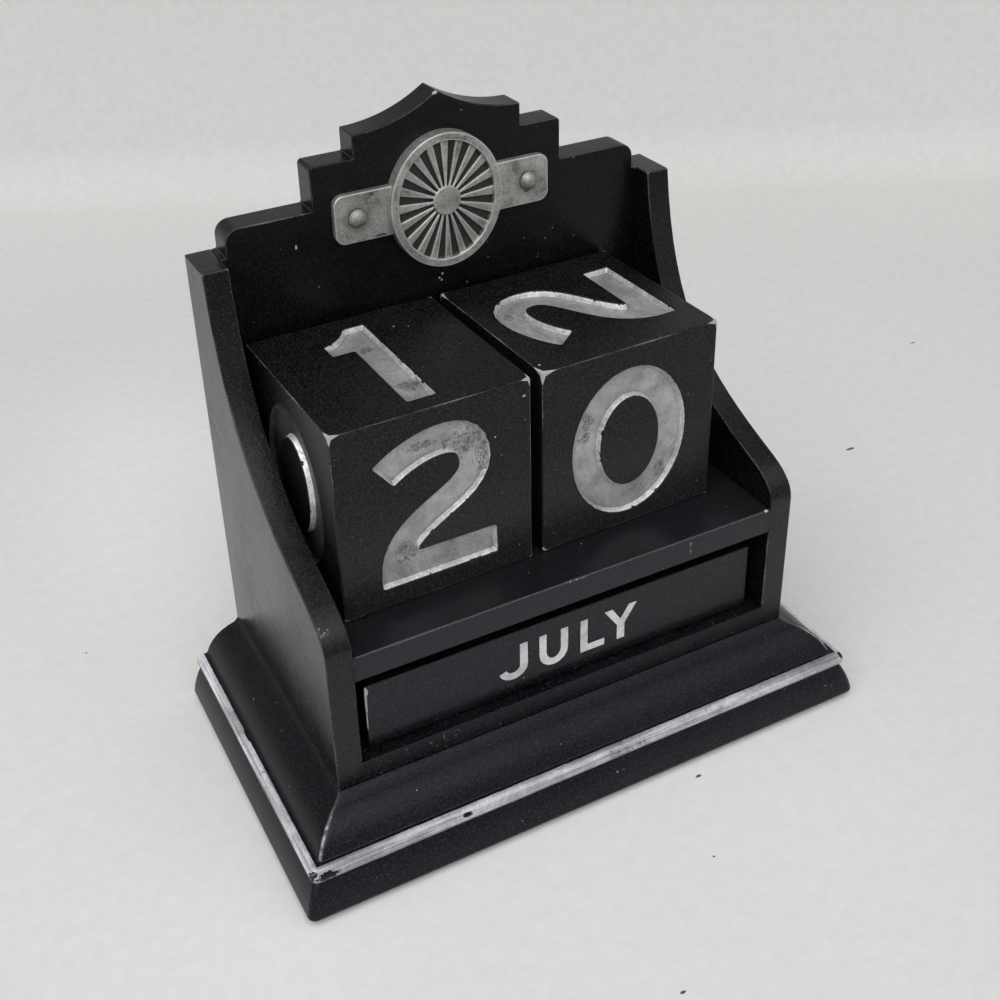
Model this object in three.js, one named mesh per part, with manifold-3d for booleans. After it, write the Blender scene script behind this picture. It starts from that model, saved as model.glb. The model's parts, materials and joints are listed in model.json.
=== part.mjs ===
// Perpetual desk calendar: an open-fronted painted box on a moulded plinth. Two dice-like date cubes stand
// on its shelf, and three bars with the months lie in the compartment underneath.
// Millimetres, +Z up, the front towards -Y. The origin is under the middle of the whole, on the desk.

import * as THREE from 'three';
import { mergeVertices } from 'three/addons/utils/BufferGeometryUtils.js';
import Module from 'manifold-3d';

const wasm = await Module();
wasm.setup();

// Clearances
const looseGap = 0.3; // round a loose piece at rest, and round a pin in its bore
const overrun = 3; // how far a cutter runs past the face that it cuts

// How finely the round stretches are divided
const curvePieces = 10;
const sweepPieces = 16;
const strokePieces = 15;
const cornerPieces = 3;
const mouldingPieces = 6;
const beadPieces = 7;
const skirtPieces = 4;
const pinSides = 12;
const padSides = 20;
const domeRings = 5;

// Box, whose width follows from the cubes
const bodyDepth = 66;
const cheekThickness = 5.9;
const boardThickness = 7.3;
const floorThickness = 5.3;
const compartmentHeight = 22.1;
const shelfThickness = 6.4;

// Cheek profile, heights above the plinth and depths from the front
const cheekHeight = 98.4;
const cheekTopDepth = 12.2;
const noseUprightHeight = 34.6;
const noseHeight = 43.3;
const noseDepth = 8.6;
const noseFullness = 5;
const noseCrestRun = 4;
const sweepSlope = 0.38;
const sweepRun = 24;
const sweepDrop = 36.5;
const sweepLean = 4.5;

// Crown of the back board, each stage as a rise above the one below
const shoulderRise = 6.3;
const shoulderInset = 1.2;
const shoulderRadius = 3.3;
const lowerStepRise = 9.9;
const lowerStepHalfWidth = 30.8;
const capRise = 5.3;
const capHalfWidth = 20.5;
const peakRise = 6.3;
const stepRadius = 1;

// Plinth section, reaches out from the box and drops below its foot
const plinthHeight = 19.1;
const coveReach = 0.9;
const coveDrop = 1;
const mouldingReach = 8.9;
const mouldingDrop = 7.7;
const mouldingFullReach = 6.9;
const mouldingFullDrop = 2.4;
const beadRadius = 1.75;
const beadProud = 1;
const skirtFullReach = 12.7;
const skirtFullDrop = 13.6;
const skirtReach = 13.6;
const skirtEdgeHeight = 0.9;
const skirtEdgeRound = 0.5;
const mitreRadiusInner = 0.2;
const mitreRadiusOuter = 1.6;

// Date cubes, stood on the shelf by hand, a hair off square
const cubeSide = 45;
const cubeLeftGap = 2.5;
const cubeMiddleGap = 2.7;
const cubeRightGap = 9;
const leftCubeBackGap = 2.6;
const rightCubeBackGap = 1.5;
const leftCubeYaw = 0.95;
const rightCubeYaw = 1.35;

// Digits, sunk into the cubes with drafted walls
const digitSideMargin = 7.5;
const digitEndMargin = 4.5;
const strokeWidth = 7.4;
const stemWidth = 6.8;
const digitDepth = 1.3;
const digitDraft = 0.5;

// Month bars
const barCount = 3;
const barRecess = 3;
const barRearGap = 3.9;
const barLeftGap = 2.8;
const barRightGap = 2.9;
const barSpacing = 0.4;

// Name plate
const plateCubeGap = 6.9;
const earSpan = 53.2;
const earHeight = 11.4;
const earThickness = 1.8;
const earRadius = 2.4;
const ovalWidth = 27.6;
const ovalHeight = 31.6;
const ovalFieldThickness = 2;
const ovalRimWidth = 1.9;
const ovalRimThickness = 3.3;
const ovalPieces = 48;
const rayCount = 20;
const rayThickness = 2.7;
const rayWidthShare = 0.5;
const bossRadius = 3.4;
const bossThickness = 3.1;
const rivetInset = 5.3;
const rivetHeadRadius = 2.3;
const rivetHeadHeight = 1.7;
const rivetShankRadius = 1;
const rivetShankLength = 5.2;

// Screws from beneath
const screwShankRadius = 1.3;
const screwHeadRadius = 2.7;
const screwHeadHeight = 1.8;
const screwPointLength = 2.5;
const screwBite = 11;
const screwSlotWidth = 0.8;
const screwSlotDepth = 0.9;
const counterboreRadius = 3.4;
const counterboreDepth = 7;
const screwFrontDepth = 12;
const screwRearInset = 12.7;

// Dowels
const dowelRadius = 1.5;
const dowelLength = 13;
const dowelCheekDepth = 4;
const shelfDowelFront = 12;
const shelfDowelRearInset = 12.7;
const boardDowelLow = 18;
const boardDowelDrop = 14.4;
const footDowelHalfSpan = 30;
const footDowelDepth = 6.5;

// Foot pads
const padRadius = 5;
const padThickness = 1;
const padInset = 10;

// Sizes that follow
const innerWidth = cubeLeftGap + 2 * cubeSide + cubeMiddleGap + cubeRightGap;
const innerHalfWidth = innerWidth / 2;
const halfWidth = innerHalfWidth + cheekThickness;
const boardFront = bodyDepth - boardThickness;
const shoulderHalfWidth = innerHalfWidth - shoulderInset;
const shoulderHeight = cheekHeight + shoulderRise;
const lowerStepHeight = shoulderHeight + lowerStepRise;
const capHeight = lowerStepHeight + capRise;
const peakHeight = capHeight + peakRise;
const shelfUnderside = floorThickness + compartmentHeight;
const shelfTop = shelfUnderside + shelfThickness;
const cubeTop = shelfTop + looseGap + cubeSide;
const plateCentreHeight = cubeTop + plateCubeGap + ovalHeight / 2;
const rivetHalfSpan = earSpan / 2 - rivetInset;
const barLength = innerWidth - barLeftGap - barRightGap;
const barsDepth = boardFront - barRecess - barRearGap;
const barSection = (barsDepth - (barCount - 1) * barSpacing) / barCount;
const screwHalfSpan = halfWidth - cheekThickness / 2;
const counterboreTop = counterboreDepth - plinthHeight;

const finishes = {
  black: { color: 0x1b1b1e, roughness: 0.55, metalness: 0 },
  pewter: { color: 0xb4b2aa, roughness: 0.4, metalness: 0.9 },
  zinc: { color: 0xa7a9ad, roughness: 0.35, metalness: 0.9 },
  beech: { color: 0xc79f6b, roughness: 0.7, metalness: 0 },
  rubber: { color: 0x151515, roughness: 0.9, metalness: 0 },
};

function toSolid(geometry) {
  geometry.deleteAttribute('normal');
  geometry.deleteAttribute('uv');
  const merged = mergeVertices(geometry);
  const mesh = new wasm.Mesh({
    numProp: 3,
    vertProperties: merged.attributes.position.array,
    triVerts: Uint32Array.from(merged.index.array),
  });
  return new wasm.Manifold(mesh);
}

function toGeometry(solid) {
  const { vertProperties, triVerts } = solid.getMesh();
  const geometry = new THREE.BufferGeometry();
  geometry.setAttribute('position', new THREE.BufferAttribute(vertProperties, 3));
  geometry.setIndex(new THREE.BufferAttribute(triVerts, 1));
  return geometry;
}

// The first solid less the others
function cut(solid, ...cutters) {
  return cutters.reduce((left, cutter) => left.subtract(cutter), solid);
}

function joined(solids) {
  return solids.reduce((all, solid) => all.add(solid));
}

function piece(name, solid, finish) {
  const mesh = new THREE.Mesh(toGeometry(solid), new THREE.MeshStandardMaterial(finishes[finish]));
  mesh.name = name;
  return mesh;
}

// A box between two corners
function slab(low, high) {
  const size = new THREE.Vector3().subVectors(high, low);
  const centre = new THREE.Vector3().addVectors(high, low).divideScalar(2);
  const geometry = new THREE.BoxGeometry(size.x, size.y, size.z);
  geometry.translate(centre.x, centre.y, centre.z);
  return toSolid(geometry);
}

const cylinderAxis = new THREE.Vector3(0, 1, 0);
const axisDirections = {
  x: new THREE.Vector3(1, 0, 0),
  z: new THREE.Vector3(0, 0, 1),
};

// A round pin along an axis, from one end for a length
function pin(radius, length, axis, start, sides = pinSides) {
  const geometry = new THREE.CylinderGeometry(radius, radius, length, sides);
  const direction = axisDirections[axis];
  geometry.applyQuaternion(new THREE.Quaternion().setFromUnitVectors(cylinderAxis, direction));
  const middle = start.clone().addScaledVector(direction, length / 2);
  geometry.translate(middle.x, middle.y, middle.z);
  return toSolid(geometry);
}

// The bore that holds a pin with the loose gap all round it
function boreFor(radius, length, axis, start) {
  const from = start.clone().addScaledVector(axisDirections[axis], -looseGap);
  return pin(radius + looseGap, length + 2 * looseGap, axis, from);
}

// An outline drawn in depth and height, given a width across the box
function acrossBox(shape, left, width) {
  const geometry = new THREE.ExtrudeGeometry(shape, {
    depth: width,
    bevelEnabled: false,
    curveSegments: sweepPieces,
  });
  const turn = new THREE.Matrix4().makeBasis(
    new THREE.Vector3(0, 1, 0),
    new THREE.Vector3(0, 0, 1),
    new THREE.Vector3(1, 0, 0),
  );
  geometry.applyMatrix4(turn);
  geometry.translate(left, 0, 0);
  return toSolid(geometry);
}

// An outline drawn in width and height, standing on a back plane and given a thickness towards the front
function towardsFront(shape, back, thickness) {
  const geometry = new THREE.ExtrudeGeometry(shape, {
    depth: thickness,
    bevelEnabled: false,
    curveSegments: curvePieces,
  });
  const turn = new THREE.Matrix4().makeBasis(
    new THREE.Vector3(1, 0, 0),
    new THREE.Vector3(0, 0, 1),
    new THREE.Vector3(0, -1, 0),
  );
  geometry.applyMatrix4(turn);
  geometry.translate(0, back, 0);
  return toSolid(geometry);
}

// Plinth: one rounded rectangle for each point of its section, open to the back plane
function plinthSection() {
  const moulding = new THREE.QuadraticBezierCurve(
    new THREE.Vector2(coveReach, -coveDrop),
    new THREE.Vector2(mouldingFullReach, -mouldingFullDrop),
    new THREE.Vector2(mouldingReach, -mouldingDrop),
  );
  const beadMiddle = new THREE.Vector2(mouldingReach + beadProud, -mouldingDrop - beadRadius);
  const beadStart = Math.PI / 2;
  const beadEnd = -Math.PI / 3;
  const bead = new THREE.EllipseCurve(
    beadMiddle.x, beadMiddle.y, beadRadius, beadRadius, beadStart, beadEnd, true);
  const beadFoot = bead.getPoint(1);
  const skirt = new THREE.QuadraticBezierCurve(
    beadFoot,
    new THREE.Vector2(skirtFullReach, -skirtFullDrop),
    new THREE.Vector2(skirtReach, skirtEdgeHeight - plinthHeight),
  );
  return [
    new THREE.Vector2(0, 0),
    ...moulding.getPoints(mouldingPieces),
    ...bead.getPoints(beadPieces),
    ...skirt.getPoints(skirtPieces).slice(1),
    new THREE.Vector2(skirtReach - skirtEdgeRound, -plinthHeight),
  ];
}

function plinthRing({ x: reach, y: height }) {
  const share = reach / skirtReach;
  const radius = mitreRadiusInner + (mitreRadiusOuter - mitreRadiusInner) * share;
  const side = halfWidth + reach;
  const corner = (middle, from) => new THREE.EllipseCurve(
    middle, radius - reach, radius, radius, from, from + Math.PI / 2).getPoints(cornerPieces);
  return [
    new THREE.Vector2(side, bodyDepth),
    new THREE.Vector2(-side, bodyDepth),
    ...corner(radius - side, Math.PI),
    ...corner(side - radius, -Math.PI / 2),
  ].map((point) => new THREE.Vector3(point.x, point.y, height));
}

// A closed skin over rings of equally many points, listed from the top down
function loft(rings) {
  const count = rings[0].length;
  const positions = rings.flat().flatMap((point) => point.toArray());
  const index = [];
  for (let ring = 0; ring < rings.length - 1; ring += 1) {
    for (let point = 0; point < count; point += 1) {
      const next = (point + 1) % count;
      const upper = ring * count;
      const lower = upper + count;
      index.push(upper + point, lower + point, lower + next, upper + point, lower + next, upper + next);
    }
  }
  const last = (rings.length - 1) * count;
  for (let point = 1; point < count - 1; point += 1) {
    index.push(0, point, point + 1, last, last + point + 1, last + point);
  }
  const geometry = new THREE.BufferGeometry();
  geometry.setAttribute('position', new THREE.Float32BufferAttribute(positions, 3));
  geometry.setIndex(index);
  return toSolid(geometry);
}

const sides = { left: -1, right: 1 };
const screwDepths = { front: screwFrontDepth, rear: boardFront - screwRearInset };
const shelfDowelDepths = { front: shelfDowelFront, rear: boardFront - shelfDowelRearInset };
const boardDowelHeights = { lower: boardDowelLow, upper: cheekHeight - boardDowelDrop };
const boardMiddle = bodyDepth - boardThickness / 2;

const screwLength = screwBite - counterboreTop;
const screwPlaces = [];
for (const [side, sign] of Object.entries(sides)) {
  for (const [end, depth] of Object.entries(screwDepths)) {
    screwPlaces.push({
      name: `cheek_screw_${side}_${end}`,
      side,
      foot: new THREE.Vector3(sign * screwHalfSpan, depth, counterboreTop - looseGap),
    });
  }
}

// The left end of a dowel through a cheek's joint, in the left cheek or in what the right cheek meets
function crossDowelStart(sign, depth, height) {
  const reach = innerHalfWidth + dowelCheekDepth;
  const left = sign < 0 ? -reach : reach - dowelLength;
  return new THREE.Vector3(left, depth, height);
}

const shelfDowels = [];
const boardDowels = [];
const footDowels = [];
for (const [side, sign] of Object.entries(sides)) {
  for (const [end, depth] of Object.entries(shelfDowelDepths)) {
    const start = crossDowelStart(sign, depth, shelfTop - shelfThickness / 2);
    shelfDowels.push({ name: `shelf_dowel_${side}_${end}`, side, axis: 'x', start });
  }
  for (const [end, height] of Object.entries(boardDowelHeights)) {
    const start = crossDowelStart(sign, boardMiddle, height);
    boardDowels.push({ name: `board_dowel_${side}_${end}`, side, axis: 'x', start });
  }
  const start = new THREE.Vector3(sign * footDowelHalfSpan, boardMiddle, -footDowelDepth);
  footDowels.push({ name: `board_foot_dowel_${side}`, side, axis: 'z', start });
}

function dowelBores(dowels) {
  return dowels.map(({ axis, start }) => boreFor(dowelRadius, dowelLength, axis, start));
}

function screwBores(places) {
  return places.map(({ foot }) => boreFor(screwShankRadius, screwLength, 'z', foot));
}

function counterbores() {
  return screwPlaces.map(({ foot }) => {
    const mouth = foot.clone().setZ(-plinthHeight - overrun);
    return pin(counterboreRadius, counterboreDepth + overrun, 'z', mouth, padSides);
  });
}

function makePlinth() {
  const block = loft(plinthSection().map(plinthRing));
  const bores = [...counterbores(), ...screwBores(screwPlaces), ...dowelBores(footDowels)];
  return piece('plinth', cut(block, ...bores), 'black');
}

// Cheek: upright front, rounded nose, then one long hollow sweep up to a short flat top
function cheekProfile() {
  const shape = new THREE.Shape();
  const topFront = bodyDepth - cheekTopDepth;
  shape.moveTo(0, 0);
  shape.lineTo(bodyDepth, 0);
  shape.lineTo(bodyDepth, cheekHeight);
  shape.lineTo(topFront, cheekHeight);
  shape.bezierCurveTo(
    topFront - sweepLean, cheekHeight - sweepDrop,
    noseDepth + sweepRun, noseHeight + sweepSlope * sweepRun,
    noseDepth, noseHeight,
  );
  shape.bezierCurveTo(
    noseDepth - noseCrestRun, noseHeight - sweepSlope * noseCrestRun,
    0, noseUprightHeight + noseFullness,
    0, noseUprightHeight,
  );
  return shape;
}

function makeCheek(side) {
  const left = sides[side] < 0 ? -halfWidth : innerHalfWidth;
  const board = acrossBox(cheekProfile(), left, cheekThickness);
  const held = [...shelfDowels, ...boardDowels].filter((dowel) => dowel.side === side);
  const screws = screwPlaces.filter((place) => place.side === side);
  return piece(`${side}_cheek`, cut(board, ...dowelBores(held), ...screwBores(screws)), 'black');
}

// Back board: rounded shoulders, two steps a side and a hollow sweep up to a central peak
function crownOutline() {
  const shape = new THREE.Shape();
  const sweepRise = peakHeight - capHeight;
  const sweepRadius = (capHalfWidth ** 2 + sweepRise ** 2) / (2 * sweepRise);
  const sweepAngle = Math.atan2(capHalfWidth, sweepRadius - sweepRise);
  shape.moveTo(-innerHalfWidth, 0);
  shape.lineTo(innerHalfWidth, 0);
  shape.lineTo(innerHalfWidth, cheekHeight);
  shape.lineTo(shoulderHalfWidth, cheekHeight);
  shape.absarc(shoulderHalfWidth - shoulderRadius, shoulderHeight - shoulderRadius,
    shoulderRadius, 0, Math.PI / 2, false);
  shape.lineTo(lowerStepHalfWidth, shoulderHeight);
  shape.lineTo(lowerStepHalfWidth, lowerStepHeight - stepRadius);
  shape.absarc(lowerStepHalfWidth - stepRadius, lowerStepHeight - stepRadius,
    stepRadius, 0, Math.PI / 2, false);
  shape.lineTo(capHalfWidth, lowerStepHeight);
  shape.lineTo(capHalfWidth, capHeight);
  shape.absarc(capHalfWidth, capHeight + sweepRadius,
    sweepRadius, -Math.PI / 2, -Math.PI / 2 - sweepAngle, true);
  shape.absarc(-capHalfWidth, capHeight + sweepRadius,
    sweepRadius, -Math.PI / 2 + sweepAngle, -Math.PI / 2, true);
  shape.lineTo(-capHalfWidth, lowerStepHeight);
  shape.lineTo(stepRadius - lowerStepHalfWidth, lowerStepHeight);
  shape.absarc(stepRadius - lowerStepHalfWidth, lowerStepHeight - stepRadius,
    stepRadius, Math.PI / 2, Math.PI, false);
  shape.lineTo(-lowerStepHalfWidth, shoulderHeight);
  shape.absarc(shoulderRadius - shoulderHalfWidth, shoulderHeight - shoulderRadius,
    shoulderRadius, Math.PI / 2, Math.PI, false);
  shape.lineTo(-shoulderHalfWidth, cheekHeight);
  shape.lineTo(-innerHalfWidth, cheekHeight);
  return shape;
}

// The rivets' shanks run through the plate's ears into the back board
const rivetPlaces = Object.entries(sides).map(([side, sign]) => ({
  name: `plate_rivet_${side}`,
  x: sign * rivetHalfSpan,
}));

// A round pin from front to back at a rivet's place
function rivetPin(place, radius, front, back) {
  const circle = new THREE.Shape();
  circle.absarc(place.x, plateCentreHeight, radius, 0, 2 * Math.PI, false);
  return towardsFront(circle, back, back - front);
}

const plateEarFront = boardFront - earThickness;
const rivetShankEnd = plateEarFront + rivetShankLength;

function rivetBores() {
  return rivetPlaces.map((place) => rivetPin(
    place, rivetShankRadius + looseGap, boardFront - ovalRimThickness - overrun, rivetShankEnd + looseGap));
}

function makeBackBoard() {
  const board = towardsFront(crownOutline(), bodyDepth, boardThickness);
  const bores = [...dowelBores([...boardDowels, ...footDowels]), ...rivetBores()];
  return piece('back_board', cut(board, ...bores), 'black');
}

function makeFloor() {
  const low = new THREE.Vector3(-innerHalfWidth, 0, 0);
  const high = new THREE.Vector3(innerHalfWidth, boardFront, floorThickness);
  return piece('compartment_floor', slab(low, high), 'black');
}

function makeShelf() {
  const low = new THREE.Vector3(-innerHalfWidth, 0, shelfUnderside);
  const high = new THREE.Vector3(innerHalfWidth, boardFront, shelfTop);
  return piece('shelf', cut(slab(low, high), ...dowelBores(shelfDowels)), 'black');
}

// Name plate: a plain ear at each end of an oval with a raised rim, a sunken field, rays and a boss
function ovalShape(inset) {
  const shape = new THREE.Shape();
  const halfAcross = ovalWidth / 2 - inset;
  const halfUp = ovalHeight / 2 - inset;
  shape.absellipse(0, plateCentreHeight, halfAcross, halfUp, 0, 2 * Math.PI, false, 0);
  return shape;
}

function ovalSolid(inset, thickness) {
  const outline = new THREE.Shape(ovalShape(inset).getPoints(ovalPieces));
  return towardsFront(outline, boardFront, thickness);
}

function earOutline() {
  const shape = new THREE.Shape();
  const left = -earSpan / 2;
  const right = earSpan / 2;
  const low = plateCentreHeight - earHeight / 2;
  const high = plateCentreHeight + earHeight / 2;
  shape.absarc(right - earRadius, low + earRadius, earRadius, -Math.PI / 2, 0, false);
  shape.absarc(right - earRadius, high - earRadius, earRadius, 0, Math.PI / 2, false);
  shape.absarc(left + earRadius, high - earRadius, earRadius, Math.PI / 2, Math.PI, false);
  shape.absarc(left + earRadius, low + earRadius, earRadius, Math.PI, 1.5 * Math.PI, false);
  return shape;
}

// A wedge from the boss to the middle of the rim
function ray(turn) {
  const halfAngle = rayWidthShare * Math.PI / rayCount;
  const rimInset = ovalRimWidth / 2;
  const onOval = (angle) => new THREE.Vector2(
    (ovalWidth / 2 - rimInset) * Math.cos(angle),
    (ovalHeight / 2 - rimInset) * Math.sin(angle) + plateCentreHeight);
  const hub = new THREE.Vector2(0, plateCentreHeight);
  return new THREE.Shape([hub, onOval(turn - halfAngle), onOval(turn + halfAngle)]);
}

function makeNamePlate() {
  const rim = cut(ovalSolid(0, ovalRimThickness), ovalSolid(ovalRimWidth, ovalRimThickness + overrun));
  const rays = [];
  for (let turn = 0; turn < rayCount; turn += 1) {
    rays.push(towardsFront(ray(2 * Math.PI * turn / rayCount), boardFront, rayThickness));
  }
  const bossShape = new THREE.Shape();
  bossShape.absarc(0, plateCentreHeight, bossRadius, 0, 2 * Math.PI, false);
  const boss = towardsFront(bossShape, boardFront, bossThickness);
  const ears = towardsFront(earOutline(), boardFront, earThickness);
  const plate = joined([ovalSolid(0, ovalFieldThickness), rim, boss, ...rays, ears]);
  return piece('name_plate', cut(plate, ...rivetBores()), 'pewter');
}

// Rivet: a shank with a domed head, turned about its axis
function makeRivet(place) {
  const domeRadius = (rivetHeadRadius ** 2 + rivetHeadHeight ** 2) / (2 * rivetHeadHeight);
  const domeAngle = Math.asin(rivetHeadRadius / domeRadius);
  const profile = [
    new THREE.Vector2(0, -rivetShankLength),
    new THREE.Vector2(rivetShankRadius, -rivetShankLength),
    new THREE.Vector2(rivetShankRadius, 0),
  ];
  for (let ring = 0; ring < domeRings; ring += 1) {
    const angle = domeAngle * (1 - ring / domeRings);
    profile.push(new THREE.Vector2(
      domeRadius * Math.sin(angle),
      domeRadius * Math.cos(angle) - domeRadius + rivetHeadHeight));
  }
  profile.push(new THREE.Vector2(0, rivetHeadHeight));
  const geometry = new THREE.LatheGeometry(profile, padSides);
  geometry.rotateX(Math.PI);
  geometry.translate(place.x, plateEarFront, plateCentreHeight);
  return piece(place.name, toSolid(geometry), 'pewter');
}

function makeScrew({ name, foot }) {
  const tip = screwLength;
  const profile = [
    new THREE.Vector2(0, -screwHeadHeight),
    new THREE.Vector2(screwHeadRadius, -screwHeadHeight),
    new THREE.Vector2(screwHeadRadius, 0),
    new THREE.Vector2(screwShankRadius, 0),
    new THREE.Vector2(screwShankRadius, tip - screwPointLength),
    new THREE.Vector2(0, tip),
  ];
  const geometry = new THREE.LatheGeometry(profile, pinSides);
  geometry.rotateX(Math.PI / 2);
  const slot = slab(
    new THREE.Vector3(-screwHeadRadius - overrun, -screwSlotWidth / 2, -screwHeadHeight - overrun),
    new THREE.Vector3(screwHeadRadius + overrun, screwSlotWidth / 2, screwSlotDepth - screwHeadHeight),
  );
  const screw = piece(name, cut(toSolid(geometry), slot), 'zinc');
  screw.position.copy(foot);
  return screw;
}

function makeDowel({ name, axis, start }) {
  const dowel = piece(name, pin(dowelRadius, dowelLength, axis, new THREE.Vector3()), 'beech');
  dowel.position.copy(start);
  return dowel;
}

function makePads() {
  const pads = [];
  const padDepths = { front: padInset - skirtReach, rear: bodyDepth - padInset };
  for (const [side, sign] of Object.entries(sides)) {
    for (const [end, depth] of Object.entries(padDepths)) {
      const pad = piece(`foot_pad_${side}_${end}`,
        pin(padRadius, padThickness, 'z', new THREE.Vector3(), padSides), 'rubber');
      pad.position.set(sign * (halfWidth + skirtReach - padInset), depth, -plinthHeight - padThickness);
      pads.push(pad);
    }
  }
  return pads;
}

// Digits. Their outlines are drawn about the middle of a face. The share tables hold places as shares of
// the half width and half height, of the digit itself or of the centre line of its stroke.
const fullHalf = new THREE.Vector2(cubeSide / 2 - digitSideMargin, cubeSide / 2 - digitEndMargin);
const lineHalf = fullHalf.clone().subScalar(strokeWidth / 2);

const polygonShares = {
  4: [[-1, -0.5], [-1, -0.16], [0.08, 1], [0.6, 1], [0.6, -0.16], [0.97, -0.16],
    [0.97, -0.54], [0.6, -0.54], [0.6, -1], [0.12, -1], [0.12, -0.54], [-1, -0.54]],
  7: [[-0.93, 1], [0.93, 1], [0.93, 0.66], [-0.1, -1], [-0.64, -1], [0.34, 0.61], [-0.93, 0.61]],
  fiveFlag: [[-0.72, 1], [0.83, 1], [0.83, 0.61], [-0.34, 0.61], [-0.38, 0.1], [-0.5, -0.05], [-0.84, 0.02]],
};
const fourWindowShares = [[-0.5, -0.16], [0.12, -0.16], [0.12, 0.5]];
const twoFootShares = [[-0.31, -0.59], [0.93, -0.6], [0.94, -1], [-0.89, -1]];
const strokeShares = {
  2: [[-1.03, 0.66], [-0.42, 1.05], [0.82, 1.25], [0.82, 0.52], [0.81, -0.13], [-0.84, -0.1], [-0.86, -1]],
  threeTop: [[-0.98, 0.64], [-0.6, 1.12], [0.9, 1.24], [0.86, 0.54], [0.84, 0.14], [0.45, 0.05],
    [-0.16, 0.05]],
  threeLow: [[-0.16, 0.05], [0.6, 0.05], [1.04, -0.1], [1.02, -0.5], [0.98, -1.25], [-0.72, -1.22],
    [-1.04, -0.64]],
  five: [[-0.78, 0.16], [0.1, 0.48], [1.04, 0.28], [1.02, -0.4], [0.98, -1.25], [-0.66, -1.22],
    [-1.04, -0.7]],
  six: [[0.66, 1], [-0.1, 0.84], [-0.98, 0.4], [-0.98, -0.44]],
};
const ringShares = {
  0: [0, -0.075, 1, 1.035],
  eightTop: [0, 0.54, 0.8, 0.46],
  low: [0, -0.44, 0.98, 0.56],
};

function scaled(shares, half) {
  return shares.map(([x, y]) => new THREE.Vector2(x * half.x, y * half.y));
}

function polygon(key) {
  return new THREE.Shape(scaled(polygonShares[key], fullHalf));
}

// The two edges of a stroke of even width along a chain of Bezier curves
function strokeEdges(key) {
  const path = new THREE.Path();
  const points = scaled(strokeShares[key], lineHalf);
  path.moveTo(points[0].x, points[0].y);
  for (let first = 1; first < points.length; first += 3) {
    const [a, b, c] = points.slice(first, first + 3);
    path.bezierCurveTo(a.x, a.y, b.x, b.y, c.x, c.y);
  }
  const pieces = strokePieces * (points.length - 1) / 3;
  const edge = (distance) => path.getSpacedPoints(pieces).map((point, step) => {
    const tangent = path.getTangentAt(step / pieces);
    return new THREE.Vector2(point.x - tangent.y * distance, point.y + tangent.x * distance);
  });
  return [edge(strokeWidth / 2), edge(-strokeWidth / 2)];
}

function stroke(key) {
  const [left, right] = strokeEdges(key);
  return new THREE.Shape([...left, ...right.reverse()]);
}

// The neck runs into the foot in one outline
function digitTwo() {
  const [outer, inner] = strokeEdges(2);
  const foot = scaled(twoFootShares, fullHalf);
  const neck = outer.filter((point) => point.y > foot[0].y);
  return new THREE.Shape([...neck, ...foot, ...inner.reverse()]);
}

function ring(key) {
  const [x, y, width, height] = ringShares[key];
  const middle = new THREE.Vector2(x, y).multiply(lineHalf);
  const half = new THREE.Vector2(width, height).multiply(lineHalf);
  const oval = (grow) => {
    const path = new THREE.Path();
    path.absellipse(middle.x, middle.y, half.x + grow, half.y + grow, 0, 2 * Math.PI, false, 0);
    return path.getPoints(2 * curvePieces);
  };
  const shape = new THREE.Shape(oval(strokeWidth / 2));
  shape.holes.push(new THREE.Path(oval(-strokeWidth / 2)));
  return shape;
}

// A straight stem with a hooked flag at its top left
const flagTipShares = { x: -0.57, top: 0.68, underside: 0.4 };
const flagHookShares = [-0.25, 0.76];

function digitOne() {
  const shape = new THREE.Shape();
  const right = stemWidth / 2;
  const left = -stemWidth / 2;
  const { x, y } = fullHalf;
  const hook = new THREE.Vector2(...flagHookShares).multiply(fullHalf);
  shape.moveTo(right, -y);
  shape.lineTo(right, y);
  shape.lineTo(left / 2, y);
  shape.quadraticCurveTo(hook.x, hook.y, flagTipShares.x * x, flagTipShares.top * y);
  shape.lineTo(flagTipShares.x * x, flagTipShares.underside * y);
  shape.lineTo(left, flagTipShares.underside * y);
  shape.lineTo(left, -y);
  return shape;
}

function digitFour() {
  const shape = polygon(4);
  shape.holes.push(new THREE.Path(scaled(fourWindowShares, fullHalf)));
  return shape;
}

const digitShapes = {
  0: () => [ring(0)],
  1: () => [digitOne()],
  2: () => [digitTwo()],
  3: () => [stroke('threeTop'), stroke('threeLow')],
  4: () => [digitFour()],
  5: () => [stroke('five'), polygon('fiveFlag')],
  6: () => [ring('low'), stroke('six')],
  7: () => [polygon(7)],
  8: () => [ring('eightTop'), ring('low')],
};

// The cutter for one digit: its outline at the face, drawn in by the draft at the floor
function digitCutter(digit) {
  return joined(digitShapes[digit]().map((shape) => toSolid(new THREE.ExtrudeGeometry(shape, {
    depth: overrun,
    bevelThickness: digitDepth,
    bevelSize: digitDraft,
    bevelOffset: -digitDraft,
    bevelSegments: 1,
    curveSegments: curvePieces,
  }))));
}

const faces = {
  front: { normal: [0, -1, 0], up: [0, 0, 1] },
  back: { normal: [0, 1, 0], up: [0, 0, 1] },
  left: { normal: [-1, 0, 0], up: [0, 0, 1] },
  right: { normal: [1, 0, 0], up: [0, 0, 1] },
  top: { normal: [0, 0, 1], up: [0, 1, 0] },
  topTurned: { normal: [0, 0, 1], up: [-1, 0, 0] },
  bottom: { normal: [0, 0, -1], up: [0, 1, 0] },
};

function onFace(solid, face) {
  const normal = new THREE.Vector3(...faces[face].normal);
  const up = new THREE.Vector3(...faces[face].up);
  const geometry = toGeometry(solid);
  geometry.applyMatrix4(new THREE.Matrix4().makeBasis(up.clone().cross(normal), up, normal));
  const middle = normal.multiplyScalar(cubeSide / 2);
  geometry.translate(middle.x, middle.y, middle.z);
  return toSolid(geometry);
}

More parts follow.
